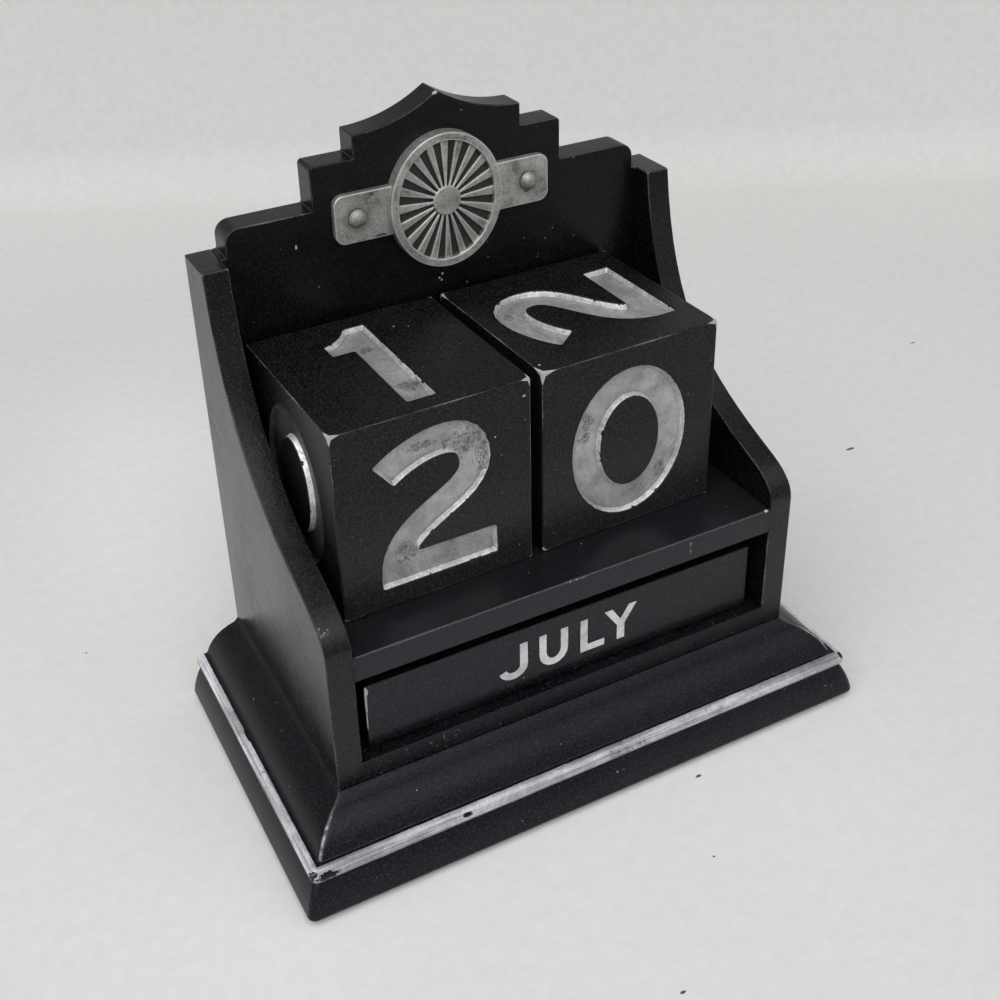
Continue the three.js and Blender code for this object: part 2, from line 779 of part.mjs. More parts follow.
const leftCubeDigits = { front: '2', top: '1', left: '0', right: '3', back: '4', bottom: '5' };
const rightCubeDigits = { front: '0', topTurned: '2', left: '1', right: '6', back: '7', bottom: '8' };

function makeCube(name, digits, middle, yaw) {
  const block = toSolid(new THREE.BoxGeometry(cubeSide, cubeSide, cubeSide));
  const cutters = Object.entries(digits).map(([face, digit]) => onFace(digitCutter(digit), face));
  const cube = piece(name, cut(block, ...cutters), 'black');
  cube.position.copy(middle);
  cube.rotation.z = THREE.MathUtils.degToRad(yaw);
  return cube;
}

// Both cubes stand back towards the board, and the left one to the left
function makeCubes() {
  const middleHeight = cubeTop - cubeSide / 2;
  const middleDepth = boardFront - cubeSide / 2;
  const leftX = -innerHalfWidth + cubeLeftGap + cubeSide / 2;
  const rightX = leftX + cubeSide + cubeMiddleGap;
  return [
    makeCube('date_cube_left', leftCubeDigits,
      new THREE.Vector3(leftX, middleDepth - leftCubeBackGap, middleHeight), leftCubeYaw),
    makeCube('date_cube_right', rightCubeDigits,
      new THREE.Vector3(rightX, middleDepth - rightCubeBackGap, middleHeight), rightCubeYaw),
  ];
}

const barNames = ['front', 'middle', 'rear'];

function makeBars() {
  const bars = [];
  for (let order = 0; order < barCount; order += 1) {
    const bar = piece(`month_bar_${barNames[order]}`,
      toSolid(new THREE.BoxGeometry(barLength, barSection, barSection)), 'black');
    bar.position.set(
      -innerHalfWidth + barLeftGap + barLength / 2,
      barRecess + barSection / 2 + order * (barSection + barSpacing),
      floorThickness + looseGap + barSection / 2,
    );
    bars.push(bar);
  }
  return bars;
}

const box = new THREE.Group();
box.add(makePlinth(), makeFloor(), makeCheek('left'), makeCheek('right'), makeBackBoard(), makeShelf());
box.add(...makePads());
box.add(...screwPlaces.map(makeScrew));
box.add(...[...shelfDowels, ...boardDowels, ...footDowels].map(makeDowel));

const badge = new THREE.Group();
badge.add(makeNamePlate(), ...rivetPlaces.map(makeRivet));

const loosePieces = new THREE.Group();
loosePieces.add(...makeCubes(), ...makeBars());

// The pieces are drawn from the front and foot of the box; the whole is moved over its own middle
const calendar = new THREE.Group();
calendar.add(box, badge, loosePieces);
calendar.position.set(0, (skirtReach - bodyDepth) / 2, plinthHeight + padThickness);

export default calendar;
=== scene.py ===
# Looks of a perpetual desk calendar: satin black box on a moulded plinth, silver digits and a pewter plate
import json
import math

import bmesh
import bpy
from mathutils import Matrix, Vector

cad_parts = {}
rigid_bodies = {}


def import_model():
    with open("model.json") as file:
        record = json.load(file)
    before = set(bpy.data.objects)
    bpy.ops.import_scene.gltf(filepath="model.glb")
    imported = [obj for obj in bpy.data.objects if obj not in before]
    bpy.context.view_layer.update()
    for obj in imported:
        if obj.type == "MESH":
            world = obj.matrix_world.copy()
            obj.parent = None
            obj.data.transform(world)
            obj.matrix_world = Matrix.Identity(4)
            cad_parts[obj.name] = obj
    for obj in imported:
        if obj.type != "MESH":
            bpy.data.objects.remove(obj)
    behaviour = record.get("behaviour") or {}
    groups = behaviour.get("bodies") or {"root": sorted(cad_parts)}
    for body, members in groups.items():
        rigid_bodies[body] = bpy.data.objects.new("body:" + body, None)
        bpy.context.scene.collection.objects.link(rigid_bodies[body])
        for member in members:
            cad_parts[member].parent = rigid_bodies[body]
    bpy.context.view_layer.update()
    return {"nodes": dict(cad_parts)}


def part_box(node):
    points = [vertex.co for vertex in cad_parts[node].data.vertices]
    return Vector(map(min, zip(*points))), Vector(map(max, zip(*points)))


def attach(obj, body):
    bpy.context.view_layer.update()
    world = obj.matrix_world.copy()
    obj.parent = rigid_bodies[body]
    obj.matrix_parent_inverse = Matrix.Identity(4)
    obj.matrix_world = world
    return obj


for old in list(bpy.data.objects):
    bpy.data.objects.remove(old)

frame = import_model()
nodes = frame["nodes"]
mm = 0.001
print("frame: loaded", len(nodes), "solids")


# Short ways to lay out node trees
def fill(tree, made, inputs):
    for name, value in inputs.items():
        if isinstance(value, bpy.types.NodeSocket):
            tree.links.new(value, made.inputs[name])
        else:
            made.inputs[name].default_value = value


def addNode(tree, kind, inputs, **settings):
    made = tree.nodes.new(kind)
    for name, value in settings.items():
        setattr(made, name, value)
    fill(tree, made, inputs)
    return made


def calc(tree, operation, first, second=0.0, clamp=False):
    made = addNode(tree, "ShaderNodeMath", {0: first, 1: second}, operation=operation, use_clamp=clamp)
    return made.outputs[0]


def plus(tree, first, second, clamp=False):
    return calc(tree, "ADD", first, second, clamp)


def minus(tree, first, second, clamp=False):
    return calc(tree, "SUBTRACT", first, second, clamp)


def times(tree, first, *others):
    for other in others:
        first = calc(tree, "MULTIPLY", first, other)
    return first


def largest(tree, first, *others):
    for other in others:
        first = calc(tree, "MAXIMUM", first, other)
    return first


# A noise centred on nothing, with the given reach
def swing(tree, value, reach):
    return times(tree, minus(tree, value, 0.5), reach)


def vectorCalc(tree, operation, *vectors, output=0):
    made = addNode(tree, "ShaderNodeVectorMath", dict(enumerate(vectors)), operation=operation)
    return made.outputs[output]


def measure(tree, operation, *vectors):
    return vectorCalc(tree, operation, *vectors, output="Value")


def scaled(tree, vector, factor):
    inputs = {0: vector, "Scale": factor}
    return addNode(tree, "ShaderNodeVectorMath", inputs, operation="SCALE").outputs[0]


def splitVector(tree, vector):
    return addNode(tree, "ShaderNodeSeparateXYZ", {"Vector": vector}).outputs


def remap(tree, value, low, high, toLow=0.0, toHigh=1.0, kind="SMOOTHSTEP"):
    inputs = {"Value": value, "From Min": low, "From Max": high, "To Min": toLow, "To Max": toHigh}
    return addNode(tree, "ShaderNodeMapRange", inputs, interpolation_type=kind).outputs["Result"]


def noise(tree, vector, scale, detail=3.0, roughness=0.6, distortion=0.0):
    inputs = {"Vector": vector, "Scale": scale, "Detail": detail}
    inputs.update({"Roughness": roughness, "Distortion": distortion})
    return addNode(tree, "ShaderNodeTexNoise", inputs).outputs["Fac"]


def mixColour(tree, share, first, second):
    return addNode(tree, "ShaderNodeMix", {0: share, 6: first, 7: second}, data_type="RGBA").outputs[2]


def mixValue(tree, share, first, second):
    return addNode(tree, "ShaderNodeMix", {0: share, 2: first, 3: second}, data_type="FLOAT").outputs[0]


def objectPlace(tree):
    return addNode(tree, "ShaderNodeTexCoord", {}).outputs["Object"]


def metres(values):
    return [value * mm for value in values]


def openness(tree, reach, **settings):
    made = addNode(tree, "ShaderNodeAmbientOcclusion", {"Distance": reach}, samples=8, **settings)
    return made.outputs["AO"]


# How far out a point lies in an ellipse, squared, so one at its edge
def ellipse(tree, across, up, halves):
    parts = [calc(tree, "DIVIDE", value, half * mm) for value, half in zip((across, up), halves)]
    return plus(tree, *(calc(tree, "POWER", part, 2.0) for part in parts))


# Even steps of an angle, from degrees to radians
def sweep(start, end, steps):
    return [math.radians(start + (end - start) * step / steps) for step in range(steps + 1)]


# A unit vector towards an azimuth and a height in degrees
def towards(azimuth, height):
    side, up = math.radians(azimuth), math.radians(height)
    return Vector((math.sin(side) * math.cos(up), -math.cos(side) * math.cos(up), math.sin(up)))


# A group of shader nodes, whose first input is a place
def newGroup(name, inputs, outputs):
    tree = bpy.data.node_groups.new(name, "ShaderNodeTree")
    for label, kind in {"Place": "Vector", **inputs}.items():
        tree.interface.new_socket(label, in_out="INPUT", socket_type="NodeSocket" + kind)
    for label, kind in outputs.items():
        tree.interface.new_socket(label, in_out="OUTPUT", socket_type="NodeSocket" + kind)
    return tree, tree.nodes.new("NodeGroupInput").outputs, tree.nodes.new("NodeGroupOutput")


def useGroup(tree, group, inputs):
    return addNode(tree, "ShaderNodeGroup", inputs, node_tree=group).outputs


def addObject(name, data):
    made = bpy.data.objects.new(name, data)
    bpy.context.scene.collection.objects.link(made)
    return made


# Effects that several finishes share

# Paint rubbed off along the outer edges, broken up by noise
edgeLook = {
    "open": (0.93, 0.7),
    "frayScale": 1700,
    "patchScale": 48,
    "frayShare": 0.6,
    "patchShare": 2.2,
    "hold": 1.95,
    "score": (0.55, 0.95),
}


def makeEdgeWear():
    look = edgeLook
    tree, given, result = newGroup("edgeWear", {"Reach": "Float", "Amount": "Float"}, {"Worn": "Float"})
    edge = remap(tree, openness(tree, given["Reach"], inside=True, only_local=True), *look["open"])
    fray = times(tree, noise(tree, given["Place"], look["frayScale"], 3, 0.65), look["frayShare"])
    patch = times(tree, noise(tree, given["Place"], look["patchScale"]), look["patchShare"])
    score = plus(tree, minus(tree, plus(tree, fray, patch), look["hold"]), given["Amount"])
    worn = remap(tree, plus(tree, score, edge), *look["score"])
    fill(tree, result, {"Worn": times(tree, worn, edge)})
    return tree


# Pale specks of dust and tiny chips, a soft dusty cloud, a fine grain and the paint's own texture.
# A spread maps a noise from two values to nothing and one, or to the last two
marksLook = {
    "speckCells": 520.0,
    "speckReach": 0.13,
    "speckEdge": 0.03,
    "speckTones": (0.0, 1.0, 0.15, 1.0),
    "flockScale": 45,
    "flockSpread": (0.4, 0.7, 0.3, 2.2),
    "broadScale": 34,
    "fineScale": 420,
    "fineShare": 0.6,
    "cloudSpread": (0.68, 1.08),
    "gritScale": 2300,
    "grainSpread": (0.48, 0.72, 0.0, 1.0),
    "brushScale": 260,
    "brushShare": 1.4,
}


def makeSurfaceMarks():
    look = marksLook
    outputs = {"Specks": "Float", "Cloud": "Float", "Grain": "Float", "Texture": "Float"}
    tree, given, result = newGroup("surfaceMarks", {"Speck Share": "Float"}, outputs)
    place = given["Place"]
    cells = addNode(tree, "ShaderNodeTexVoronoi", {"Vector": place, "Scale": look["speckCells"]})
    chance = addNode(tree, "ShaderNodeSeparateColor", {"Color": cells.outputs["Color"]}).outputs
    flock = remap(tree, noise(tree, place, look["flockScale"]), *look["flockSpread"], "LINEAR")
    least = minus(tree, 1.0, times(tree, given["Speck Share"], flock))
    reach = remap(tree, chance["Red"], least, 1.0, 0.0, look["speckReach"], "LINEAR")
    speck = remap(tree, minus(tree, reach, cells.outputs["Distance"]), 0.0, look["speckEdge"])
    speck = times(tree, speck, remap(tree, chance["Green"], *look["speckTones"], "LINEAR"))
    broad = noise(tree, place, look["broadScale"], 3, 0.55)
    fine = noise(tree, place, look["fineScale"], 3, 0.65)
    cloud = remap(tree, plus(tree, broad, times(tree, fine, look["fineShare"])), *look["cloudSpread"])
    grit = noise(tree, place, look["gritScale"], 2, 0.65)
    grain = remap(tree, grit, *look["grainSpread"], "LINEAR")
    brush = times(tree, noise(tree, place, look["brushScale"], 2, 0.5), look["brushShare"])
    texture = plus(tree, grit, brush)
    fill(tree, result, {"Specks": speck, "Cloud": cloud, "Grain": grain, "Texture": texture})
    return tree


# One where a place lies between two corners, else nothing
def makeInsideBox():
    tree, given, result = newGroup("insideBox", {"Low": "Vector", "High": "Vector"}, {"Inside": "Float"})
    above = vectorCalc(tree, "SUBTRACT", given["Place"], given["Low"])
    below = vectorCalc(tree, "SUBTRACT", given["High"], given["Place"])
    split = splitVector(tree, vectorCalc(tree, "MINIMUM", above, below))
    low = calc(tree, "MINIMUM", calc(tree, "MINIMUM", split["X"], split["Y"]), split["Z"])
    fill(tree, result, {"Inside": calc(tree, "GREATER_THAN", low, 0.0)})
    return tree


# How close a place is to a corner, fading out over the reach
def makeCornerField():
    inputs = {"Corner": "Vector", "Reach": "Float"}
    tree, given, result = newGroup("cornerField", inputs, {"Field": "Float"})
    away = measure(tree, "DISTANCE", given["Place"], given["Corner"])
    share = minus(tree, 1.0, calc(tree, "DIVIDE", away, given["Reach"]), clamp=True)
    fill(tree, result, {"Field": times(tree, share, share)})
    return tree


# One ragged chip at a place
def makeChip():
    inputs = {"Centre": "Vector", "Size": "Vector", "Ragged": "Float", "Scale": "Float"}
    tree, given, result = newGroup("chip", inputs, {"Chipped": "Float"})
    away = vectorCalc(tree, "SUBTRACT", given["Place"], given["Centre"])
    reach = measure(tree, "LENGTH", vectorCalc(tree, "DIVIDE", away, given["Size"]))
    ragged = swing(tree, noise(tree, given["Place"], given["Scale"], 3, 0.65), given["Ragged"])
    fill(tree, result, {"Chipped": remap(tree, plus(tree, reach, ragged), 1.05, 0.85)})
    return tree


# Hand-brushed silver: grey flake paint, unevenly thick, with brown grime and fine dark pits
silverLook = {
    "mottleScale": 900,
    "mottleSpread": (0.3, 0.72, 0.9, 1.08),
    "flakeScale": 2400,
    "flakeShare": 0.7,
    "washScale": 110,
    "washSpread": (0.3, 0.7, 0.76, 1.2),
    "grimeScale": 110,
    "grimeSpread": (0.48, 0.74),
    "grimeShare": 0.5,
    "pitScale": 1300,
    "pitSpread": (0.62, 0.7),
    "pitPatches": (0.5, 0.66),
    "pitShare": 0.8,
    "pitDepth": -1.2,
    "roughSpread": (0.3, 1.2, 0.36, 0.6),
    "grime": (0.16, 0.15, 0.125, 1),
    "pit": (0.03, 0.03, 0.026, 1),
}


def makeSilverPaint():
    look = silverLook
    outputs = {"Color": "Color", "Roughness": "Float", "Texture": "Float"}
    tree, given, result = newGroup("silverPaint", {"Tone": "Color", "Stain": "Float"}, outputs)
    place = given["Place"]
    mottle = noise(tree, place, look["mottleScale"], 4, 0.6)
    flake = swing(tree, noise(tree, place, look["flakeScale"], 2, 0.6), look["flakeShare"])
    wash = noise(tree, place, look["washScale"], 3, 0.6, 0.8)
    shade = plus(tree, remap(tree, mottle, *look["mottleSpread"]), flake)
    shade = times(tree, shade, remap(tree, wash, *look["washSpread"]))
    tone = scaled(tree, given["Tone"], shade)
    patches = noise(tree, place, look["grimeScale"], 4, 0.65)
    grime = times(tree, remap(tree, patches, *look["grimeSpread"]), given["Stain"])
    pits = remap(tree, noise(tree, place, look["pitScale"], 3, 0.65), *look["pitSpread"])
    pits = times(tree, pits, remap(tree, patches, *look["pitPatches"]), given["Stain"])
    colour = mixColour(tree, times(tree, grime, look["grimeShare"]), tone, look["grime"])
    fill(tree, result, {
        "Color": mixColour(tree, times(tree, pits, look["pitShare"]), colour, look["pit"]),
        "Roughness": remap(tree, plus(tree, mottle, grime), *look["roughSpread"]),
        "Texture": plus(tree, mottle, times(tree, pits, look["pitDepth"])),
    })
    return tree


edgeWear = makeEdgeWear()
surfaceMarks = makeSurfaceMarks()
insideBox = makeInsideBox()
cornerField = makeCornerField()
chip = makeChip()
silverPaint = makeSilverPaint()
print("effects: edge wear, surface marks, chips and silver paint")


# Chips, each a centre, a reach and how ragged its outline is
def chips(tree, place, marks, scale=1500.0):
    masks = []
    for centre, size, ragged in marks:
        inputs = {"Place": place, "Centre": metres(centre), "Size": metres(size)}
        inputs.update({"Ragged": ragged, "Scale": scale})
        masks.append(useGroup(tree, chip, inputs)["Chipped"])
    return largest(tree, *masks)


def newFinish(name):
    made = bpy.data.materials.new(name)
    made.use_nodes = True
    tree = made.node_tree
    tree.nodes.clear()
    shader = tree.nodes.new("ShaderNodeBsdfPrincipled")
    output = tree.nodes.new("ShaderNodeOutputMaterial")
    tree.links.new(shader.outputs[0], output.inputs[0])
    return made, tree, shader


def setBump(tree, shader, height, strength, depth):
    bump = addNode(tree, "ShaderNodeBump", {"Strength": strength, "Distance": depth * mm, "Height": height})
    tree.links.new(bump.outputs[0], shader.inputs["Normal"])


# Satin black paint, bluish, over a pale ground that shows where it is rubbed or chipped. A bump is its
# strength and its depth in millimetres
paint = {
    "colour": (0.0006, 0.0004, 0.001, 1),
    "grain": (0.024, 0.0228, 0.0275, 1),
    "dust": (0.012, 0.0118, 0.0135, 1),
    "ground": (0.45, 0.45, 0.44, 1),
    "roughness": 0.3,
    "gloss": 1.35,
    "tint": (0.96, 0.94, 1.0, 1),
    "violet": (0.87, 0.84, 1.0, 1),
    "bump": (0.3, 0.12),
    "wearReach": 0.45,
    "pale": 0.6,
    "speckTone": 0.6,
    "satinSpread": (-0.02, 0.07),
    "wornRough": 0.3,
    "plainScale": 900,
    "plainSpread": (0.66, 0.74),
    "plainShare": 0.2,
    "scuffScale": 1500,
    "scuffSpread": (0.5, 0.62),
    "scuffShare": 0.45,
}


# The black paint in a tree: its colour, roughness and texture, paled to its ground by the given mask, which
# is wear, and on the plinth's ridges painted highlight too
def layPaint(tree, place, worn, wear):
    marks = useGroup(tree, surfaceMarks, {"Place": place, "Speck Share": wear.get("specks", 0.3)})
    grain = times(tree, marks["Grain"], wear.get("grainy", 1.0))
    colour = mixColour(tree, grain, wear.get("base", paint["colour"]), paint["grain"])
    colour = mixColour(tree, times(tree, marks["Cloud"], wear.get("dust", 0.3)), colour, paint["dust"])
    colour = mixColour(tree, times(tree, marks["Specks"], paint["speckTone"]), colour, paint["ground"])
    colour = mixColour(tree, worn, colour, paint["ground"])
    satin = [wear.get("satin", paint["roughness"]) + more for more in paint["satinSpread"]]
    rough = remap(tree, marks["Cloud"], 0.0, 1.0, *satin, "LINEAR")
    return colour, plus(tree, rough, times(tree, worn, paint["wornRough"])), marks["Texture"]


def setGloss(shader, wear):
    shader.inputs["IOR"].default_value = wear.get("gloss", paint["gloss"])
    shader.inputs["Specular Tint"].default_value = wear.get("tint", paint["tint"])


# Chips broken up by a fine noise
def brokenChips(tree, place, marks):
    grain = remap(tree, noise(tree, place, paint["scuffScale"], 4, 0.7), *paint["scuffSpread"])
    return times(tree, chips(tree, place, marks), grain, paint["scuffShare"])


# Silver paint in a tree, in the look's tone and stained as it says
def laySilver(tree, place, look):
    return useGroup(tree, silverPaint, {"Place": place, "Tone": look["silver"], "Stain": look["stain"]})


# Silver over black by a share; each is a colour and a roughness
def blend(tree, shader, share, black, silver, look):
    fill(tree, shader, {
        "Base Color": mixColour(tree, share, black[0], silver[0]),
        "Roughness": mixValue(tree, share, black[1], silver[1]),
        "Metallic": times(tree, share, look["metallic"]),
    })
    setGloss(shader, look)


def makeBoxPaint(name, wear):
    made, tree, shader = newFinish(name)
    place = objectPlace(tree)
    if "edges" in wear:
        inputs = {"Place": place, "Reach": paint["wearReach"] * mm, "Amount": wear["edges"]}
        worn = times(tree, useGroup(tree, edgeWear, inputs)["Worn"], paint["pale"])
    else:
        worn = remap(tree, noise(tree, place, paint["plainScale"]), *paint["plainSpread"])
        worn = times(tree, worn, paint["plainShare"])
    for low, high in wear.get("calm", []):
        box = {"Place": place, "Low": metres(low), "High": metres(high)}
        worn = times(tree, worn, minus(tree, 1.0, useGroup(tree, insideBox, box)["Inside"]))
    if wear.get("scuffs"):
        worn = largest(tree, worn, brokenChips(tree, place, wear["scuffs"]))
    if wear.get("chips"):
        worn = largest(tree, worn, chips(tree, place, wear["chips"]))
    colour, rough, texture = layPaint(tree, place, worn, wear)
    fill(tree, shader, {"Base Color": colour, "Roughness": rough})
    setGloss(shader, wear)
    setBump(tree, shader, texture, *paint["bump"])
    return made


def makeSmoothFaces():
    tree = bpy.data.node_groups.new("smoothFaces", "GeometryNodeTree")
    tree.interface.new_socket("Geometry", in_out="INPUT", socket_type="NodeSocketGeometry")
    tree.interface.new_socket("Geometry", in_out="OUTPUT", socket_type="NodeSocketGeometry")
    kinds = ("NodeGroupInput", "GeometryNodeSetShadeSmooth", "NodeGroupOutput")
    start, smooth, end = (tree.nodes.new(kind) for kind in kinds)
    tree.links.new(start.outputs[0], smooth.inputs["Geometry"])
    tree.links.new(smooth.outputs[0], end.inputs[0])
    return tree


smoothFaces = makeSmoothFaces()


# Modifiers that clean a solid's triangles and round its edges a little
def roundEdges(obj, bevels):
    weld = obj.modifiers.new("weld", "WELD")
    weld.merge_threshold = 0.001 * mm
    flat = obj.modifiers.new("flat", "DECIMATE")
    flat.decimate_type = "DISSOLVE"
    flat.angle_limit = math.radians(0.6)
    for width, angle, segments in bevels:
        bevel = obj.modifiers.new("bevel", "BEVEL")
        bevel.width = width * mm
        bevel.segments = segments
        bevel.limit_method = "ANGLE"
        bevel.angle_limit = math.radians(angle)
        bevel.use_clamp_overlap = False
        bevel.miter_outer = "MITER_ARC"
    smooth = obj.modifiers.new("smooth", "NODES")
    smooth.node_group = smoothFaces
    normals = obj.modifiers.new("normals", "WEIGHTED_NORMAL")
    normals.mode = "FACE_AREA"
    normals.weight = 50
    normals.keep_sharp = False


# How much each kind of piece is rounded: a width in millimetres, the least angle and the steps
rounding = {
    "board": [(0.35, 40, 3)],
    "moulding": [(0.3, 40, 3)],
    "cube": [(0.5, 80, 3), (0.14, 40, 2)],
    "bar": [(0.3, 40, 3)],
    "plate": [(0.22, 40, 2)],
    "rivet": [],
    "fixing": [(0.12, 50, 2)],
}


def dress(name, finish, kind):
    obj = nodes[name]
    obj.data.materials.clear()
    obj.data.materials.append(finish)
    roundEdges(obj, rounding[kind])


# Box: cheeks, back board, shelf and sill. Inside a calm box the edges kept their paint
jointCalm = [
    ((side * 52.5 - 1.5, -27, low), (side * 52.5 + 1.5, -25.4, high))
    for side in (-1, 1) for low, high in ((46.9, 54.5), (19, 26))
]
cheekWear = {"edges": 0.5, "satin": 0.22, "gloss": 1.41, "calm": jointCalm}
boxWear = {
    "left_cheek": {
        **cheekWear,
        "chips": [((-55.4, -24.6, 58.0), (0.3, 0.3, 0.25), 0.9)],
        "scuffs": [((-56.9, -23.4, 60.6), (1.7, 2.0, 1.2), 1.6)],
    },
    "right_cheek": {**cheekWear, "scuffs": [((57.6, -25.4, 40.0), (0.5, 0.8, 8.0), 0.8)]},
    "back_board": {
        "edges": 0.42,
        "dust": 0.2,
        "grainy": 0.55,
        "calm": [((side * 52 - 2, 38, 19), (side * 52 + 2, 42, 119)) for side in (-1, 1)],
        "chips": [
            ((-0.6, 32.6, 145.9), (0.7, 0.6, 0.45), 1.2), ((-35.3, 32.5, 117.6), (0.24, 0.4, 0.6), 1.0),
            ((-0.6, 32.5, 103.0), (0.3, 0.4, 0.34), 1.2), ((-1.4, 32.5, 102.1), (0.28, 0.4, 0.26), 1.2),
            ((-0.9, 32.5, 101.5), (0.22, 0.4, 0.24), 1.2),
        ],
    },
    "shelf": {
        "edges": 0.9,
        "dust": 0.8,
        "gloss": 1.425,
        "tint": paint["violet"],
        "base": (0.007, 0.0067, 0.0085, 1),
        "calm": [
            ((-60, -30, 40), (-51.4, 40, 60)),
            ((51.4, -30, 40), (60, 40, 60)),
            ((-60, -30, 40), (60, 40, 50)),
        ],
        "chips": [((50.9, -26.1, 53.8), (0.55, 0.5, 0.3), 1.0)],
        "scuffs": [((30.0, -26.2, 51.5), (0.3, 0.4, 2.4), 0.9), ((0.0, -26.2, 53.8), (3.4, 0.5, 0.5), 0.9)],
    },
    "compartment_floor": {"dust": 0.4, "tint": paint["violet"]},
}
for name, wear in boxWear.items():
    dress(name, makeBoxPaint(name + "_paint", wear), "board")
print("box: painted", len(boxWear), "boards")


# A piece made of flat outlines, each drawn out along a shift
def makePrism(name, outlines, shift, finish):
    mesh = bpy.data.meshes.new(name)
    work = bmesh.new()
    for outline in outlines:
        face = work.faces.new([work.verts.new(corner) for corner in outline])
        made = bmesh.ops.extrude_face_region(work, geom=[face])
        moved = [v for v in made["geom"] if isinstance(v, bmesh.types.BMVert)]
        bmesh.ops.translate(work, vec=shift, verts=moved)
    bmesh.ops.recalc_face_normals(work, faces=work.faces)
    work.to_mesh(mesh)
    work.free()
    mesh.materials.append(finish)
    return addObject(name, mesh)


# Paint bridges the joints where the shelf and the sill meet the cheeks flush at the front
jointFill = {
    "width": 1.0,
    "depth": 0.8,
    "steps": 4,
    "wear": {"gloss": 1.41, "tint": paint["violet"]},
}


# A fill's rounded corner, from its front to its top or foot, as distances in from the two
def roundedCorner(steps):
    boardRound = rounding["board"][0][0]
    turns = sweep(90, 0, steps)
    return [(boardRound * (1 - math.sin(turn)), boardRound * (1 - math.cos(turn))) for turn in turns]


def makeJointFills():
    look = jointFill
    finish = makeBoxPaint("joint_paint", look["wear"])
    for board in ("shelf", "compartment_floor"):
        low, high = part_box(board)
        front, foot, head = low.y / mm, low.z / mm, high.z / mm
        corner = roundedCorner(look["steps"])
        outline = [(front + look["depth"], head)] + [(front + y, head - z) for y, z in reversed(corner)]
        outline += [(front + y, foot + z) for y, z in corner] + [(front + look["depth"], foot)]
        for side, x in (("left", low.x), ("right", high.x)):
            start = x - look["width"] / 2 * mm
            face = [(start, y * mm, z * mm) for y, z in outline]
            joint = makePrism(f"joint_fill_{board}_{side}", [face], (look["width"] * mm, 0, 0), finish)
            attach(joint, "box")


makeJointFills()
print("joints: filled with paint")


# Plinth: black, with its raised bead brushed silver by hand. Reaches are out from the box
plinthLook = {
    "beadReach": 9.9,
    "beadHeight": 10.65,
    "beadPaint": 1.83,
    "beadInner": 9.72,
    "sideFoot": 11.0,
    "soft": 0.06,
    "wander": 0.3,
    "fray": 0.3,
    "silver": (0.585, 0.585, 0.615, 1),
    "stain": 0.12,
    "metallic": 0.4,
    "streaks": (45, 45, 2300),
    "frontSilverLight": 0.9,
    "sideSilverLight": 1.25,
    "tint": paint["violet"],
    "ridgeReach": (0.7, 0.15),
    "ridgeFoot": (12.4, 12.8),
    "ridgeTop": (19.2, 16.8),
    "sheenReach": 1.7,
    "sheenHeight": 16.0,
    "sheenUp": (2.6, 0.4),
    "chips": [
        ((-66.0, -37.6, 10.9), (2.6, 1.1, 0.95), 1.8), ((-68.6, -36.4, 11.2), (1.0, 1.3, 1.0), 1.6),
        ((-33.7, -37.6, 11.5), (1.3, 1.1, 0.5), 1.6), ((-67.7, 7.0, 12.4), (0.35, 2.2, 0.3), 1.0),
        ((68.6, -36.6, 11.6), (0.9, 1.1, 0.9), 1.4),
    ],
}


# Nothing before a line in millimetres and one past it, or the reverse where soft is negative
def past(tree, value, line, soft):
    return remap(tree, value, (line - soft) * mm, (line + soft) * mm)


# The bead's silver, which wanders and frays; along the sides the brush left its lower half black
def makeBeadMask(tree, place, reach, height, onSides):
    look = plinthLook
    sway = swing(tree, noise(tree, place, 75, 2, 0.5), look["wander"] * mm)
    fray = swing(tree, noise(tree, place, 700), look["fray"] * mm)
    drift = plus(tree, sway, fray)
    out = minus(tree, reach, look["beadReach"] * mm)
    up = minus(tree, height, look["beadHeight"] * mm)
    off = addNode(tree, "ShaderNodeCombineXYZ", {"X": out, "Y": up}).outputs[0]
    away = plus(tree, measure(tree, "LENGTH", off), drift)
    painted = past(tree, away, look["beadPaint"], -look["soft"])
    painted = times(tree, painted, past(tree, plus(tree, reach, drift), look["beadInner"], look["soft"]))
    bare = times(tree, past(tree, plus(tree, height, drift), look["sideFoot"], -look["soft"]), onSides)
    painted = times(tree, painted, minus(tree, 1.0, bare))
    return minus(tree, painted, chips(tree, place, look["chips"]), clamp=True)


# The moulding's mitred corners are paled along their ridge, partly rubbed paint and partly a painted
# highlight, and beside the left one lies a soft painted highlight
def makeRidgeWearAndHighlight(tree, place, split, beside):
    look = plinthLook
    ridge = remap(tree, calc(tree, "ABSOLUTE", beside), *metres(look["ridgeReach"]))
    ridge = times(tree, ridge, remap(tree, split["Z"], *metres(look["ridgeFoot"])))
    ridge = times(tree, ridge, remap(tree, split["Z"], *metres(look["ridgeTop"]), 0.1, 1.0))
    ridge = times(tree, ridge, remap(tree, noise(tree, place, 600), 0.32, 0.62, 0.12, 0.85))
    # painted highlight: a soft sheen beside the left mitre
    sheen = remap(tree, beside, look["sheenReach"] * mm, 0.0, 0.0, 0.1)
    up = calc(tree, "ABSOLUTE", minus(tree, split["Z"], look["sheenHeight"] * mm))
    up = remap(tree, up, *metres(look["sheenUp"]))
    sheen = times(tree, sheen, calc(tree, "GREATER_THAN", beside, 0.0), up)
    return largest(tree, ridge, times(tree, sheen, calc(tree, "LESS_THAN", split["X"], 0.0)))


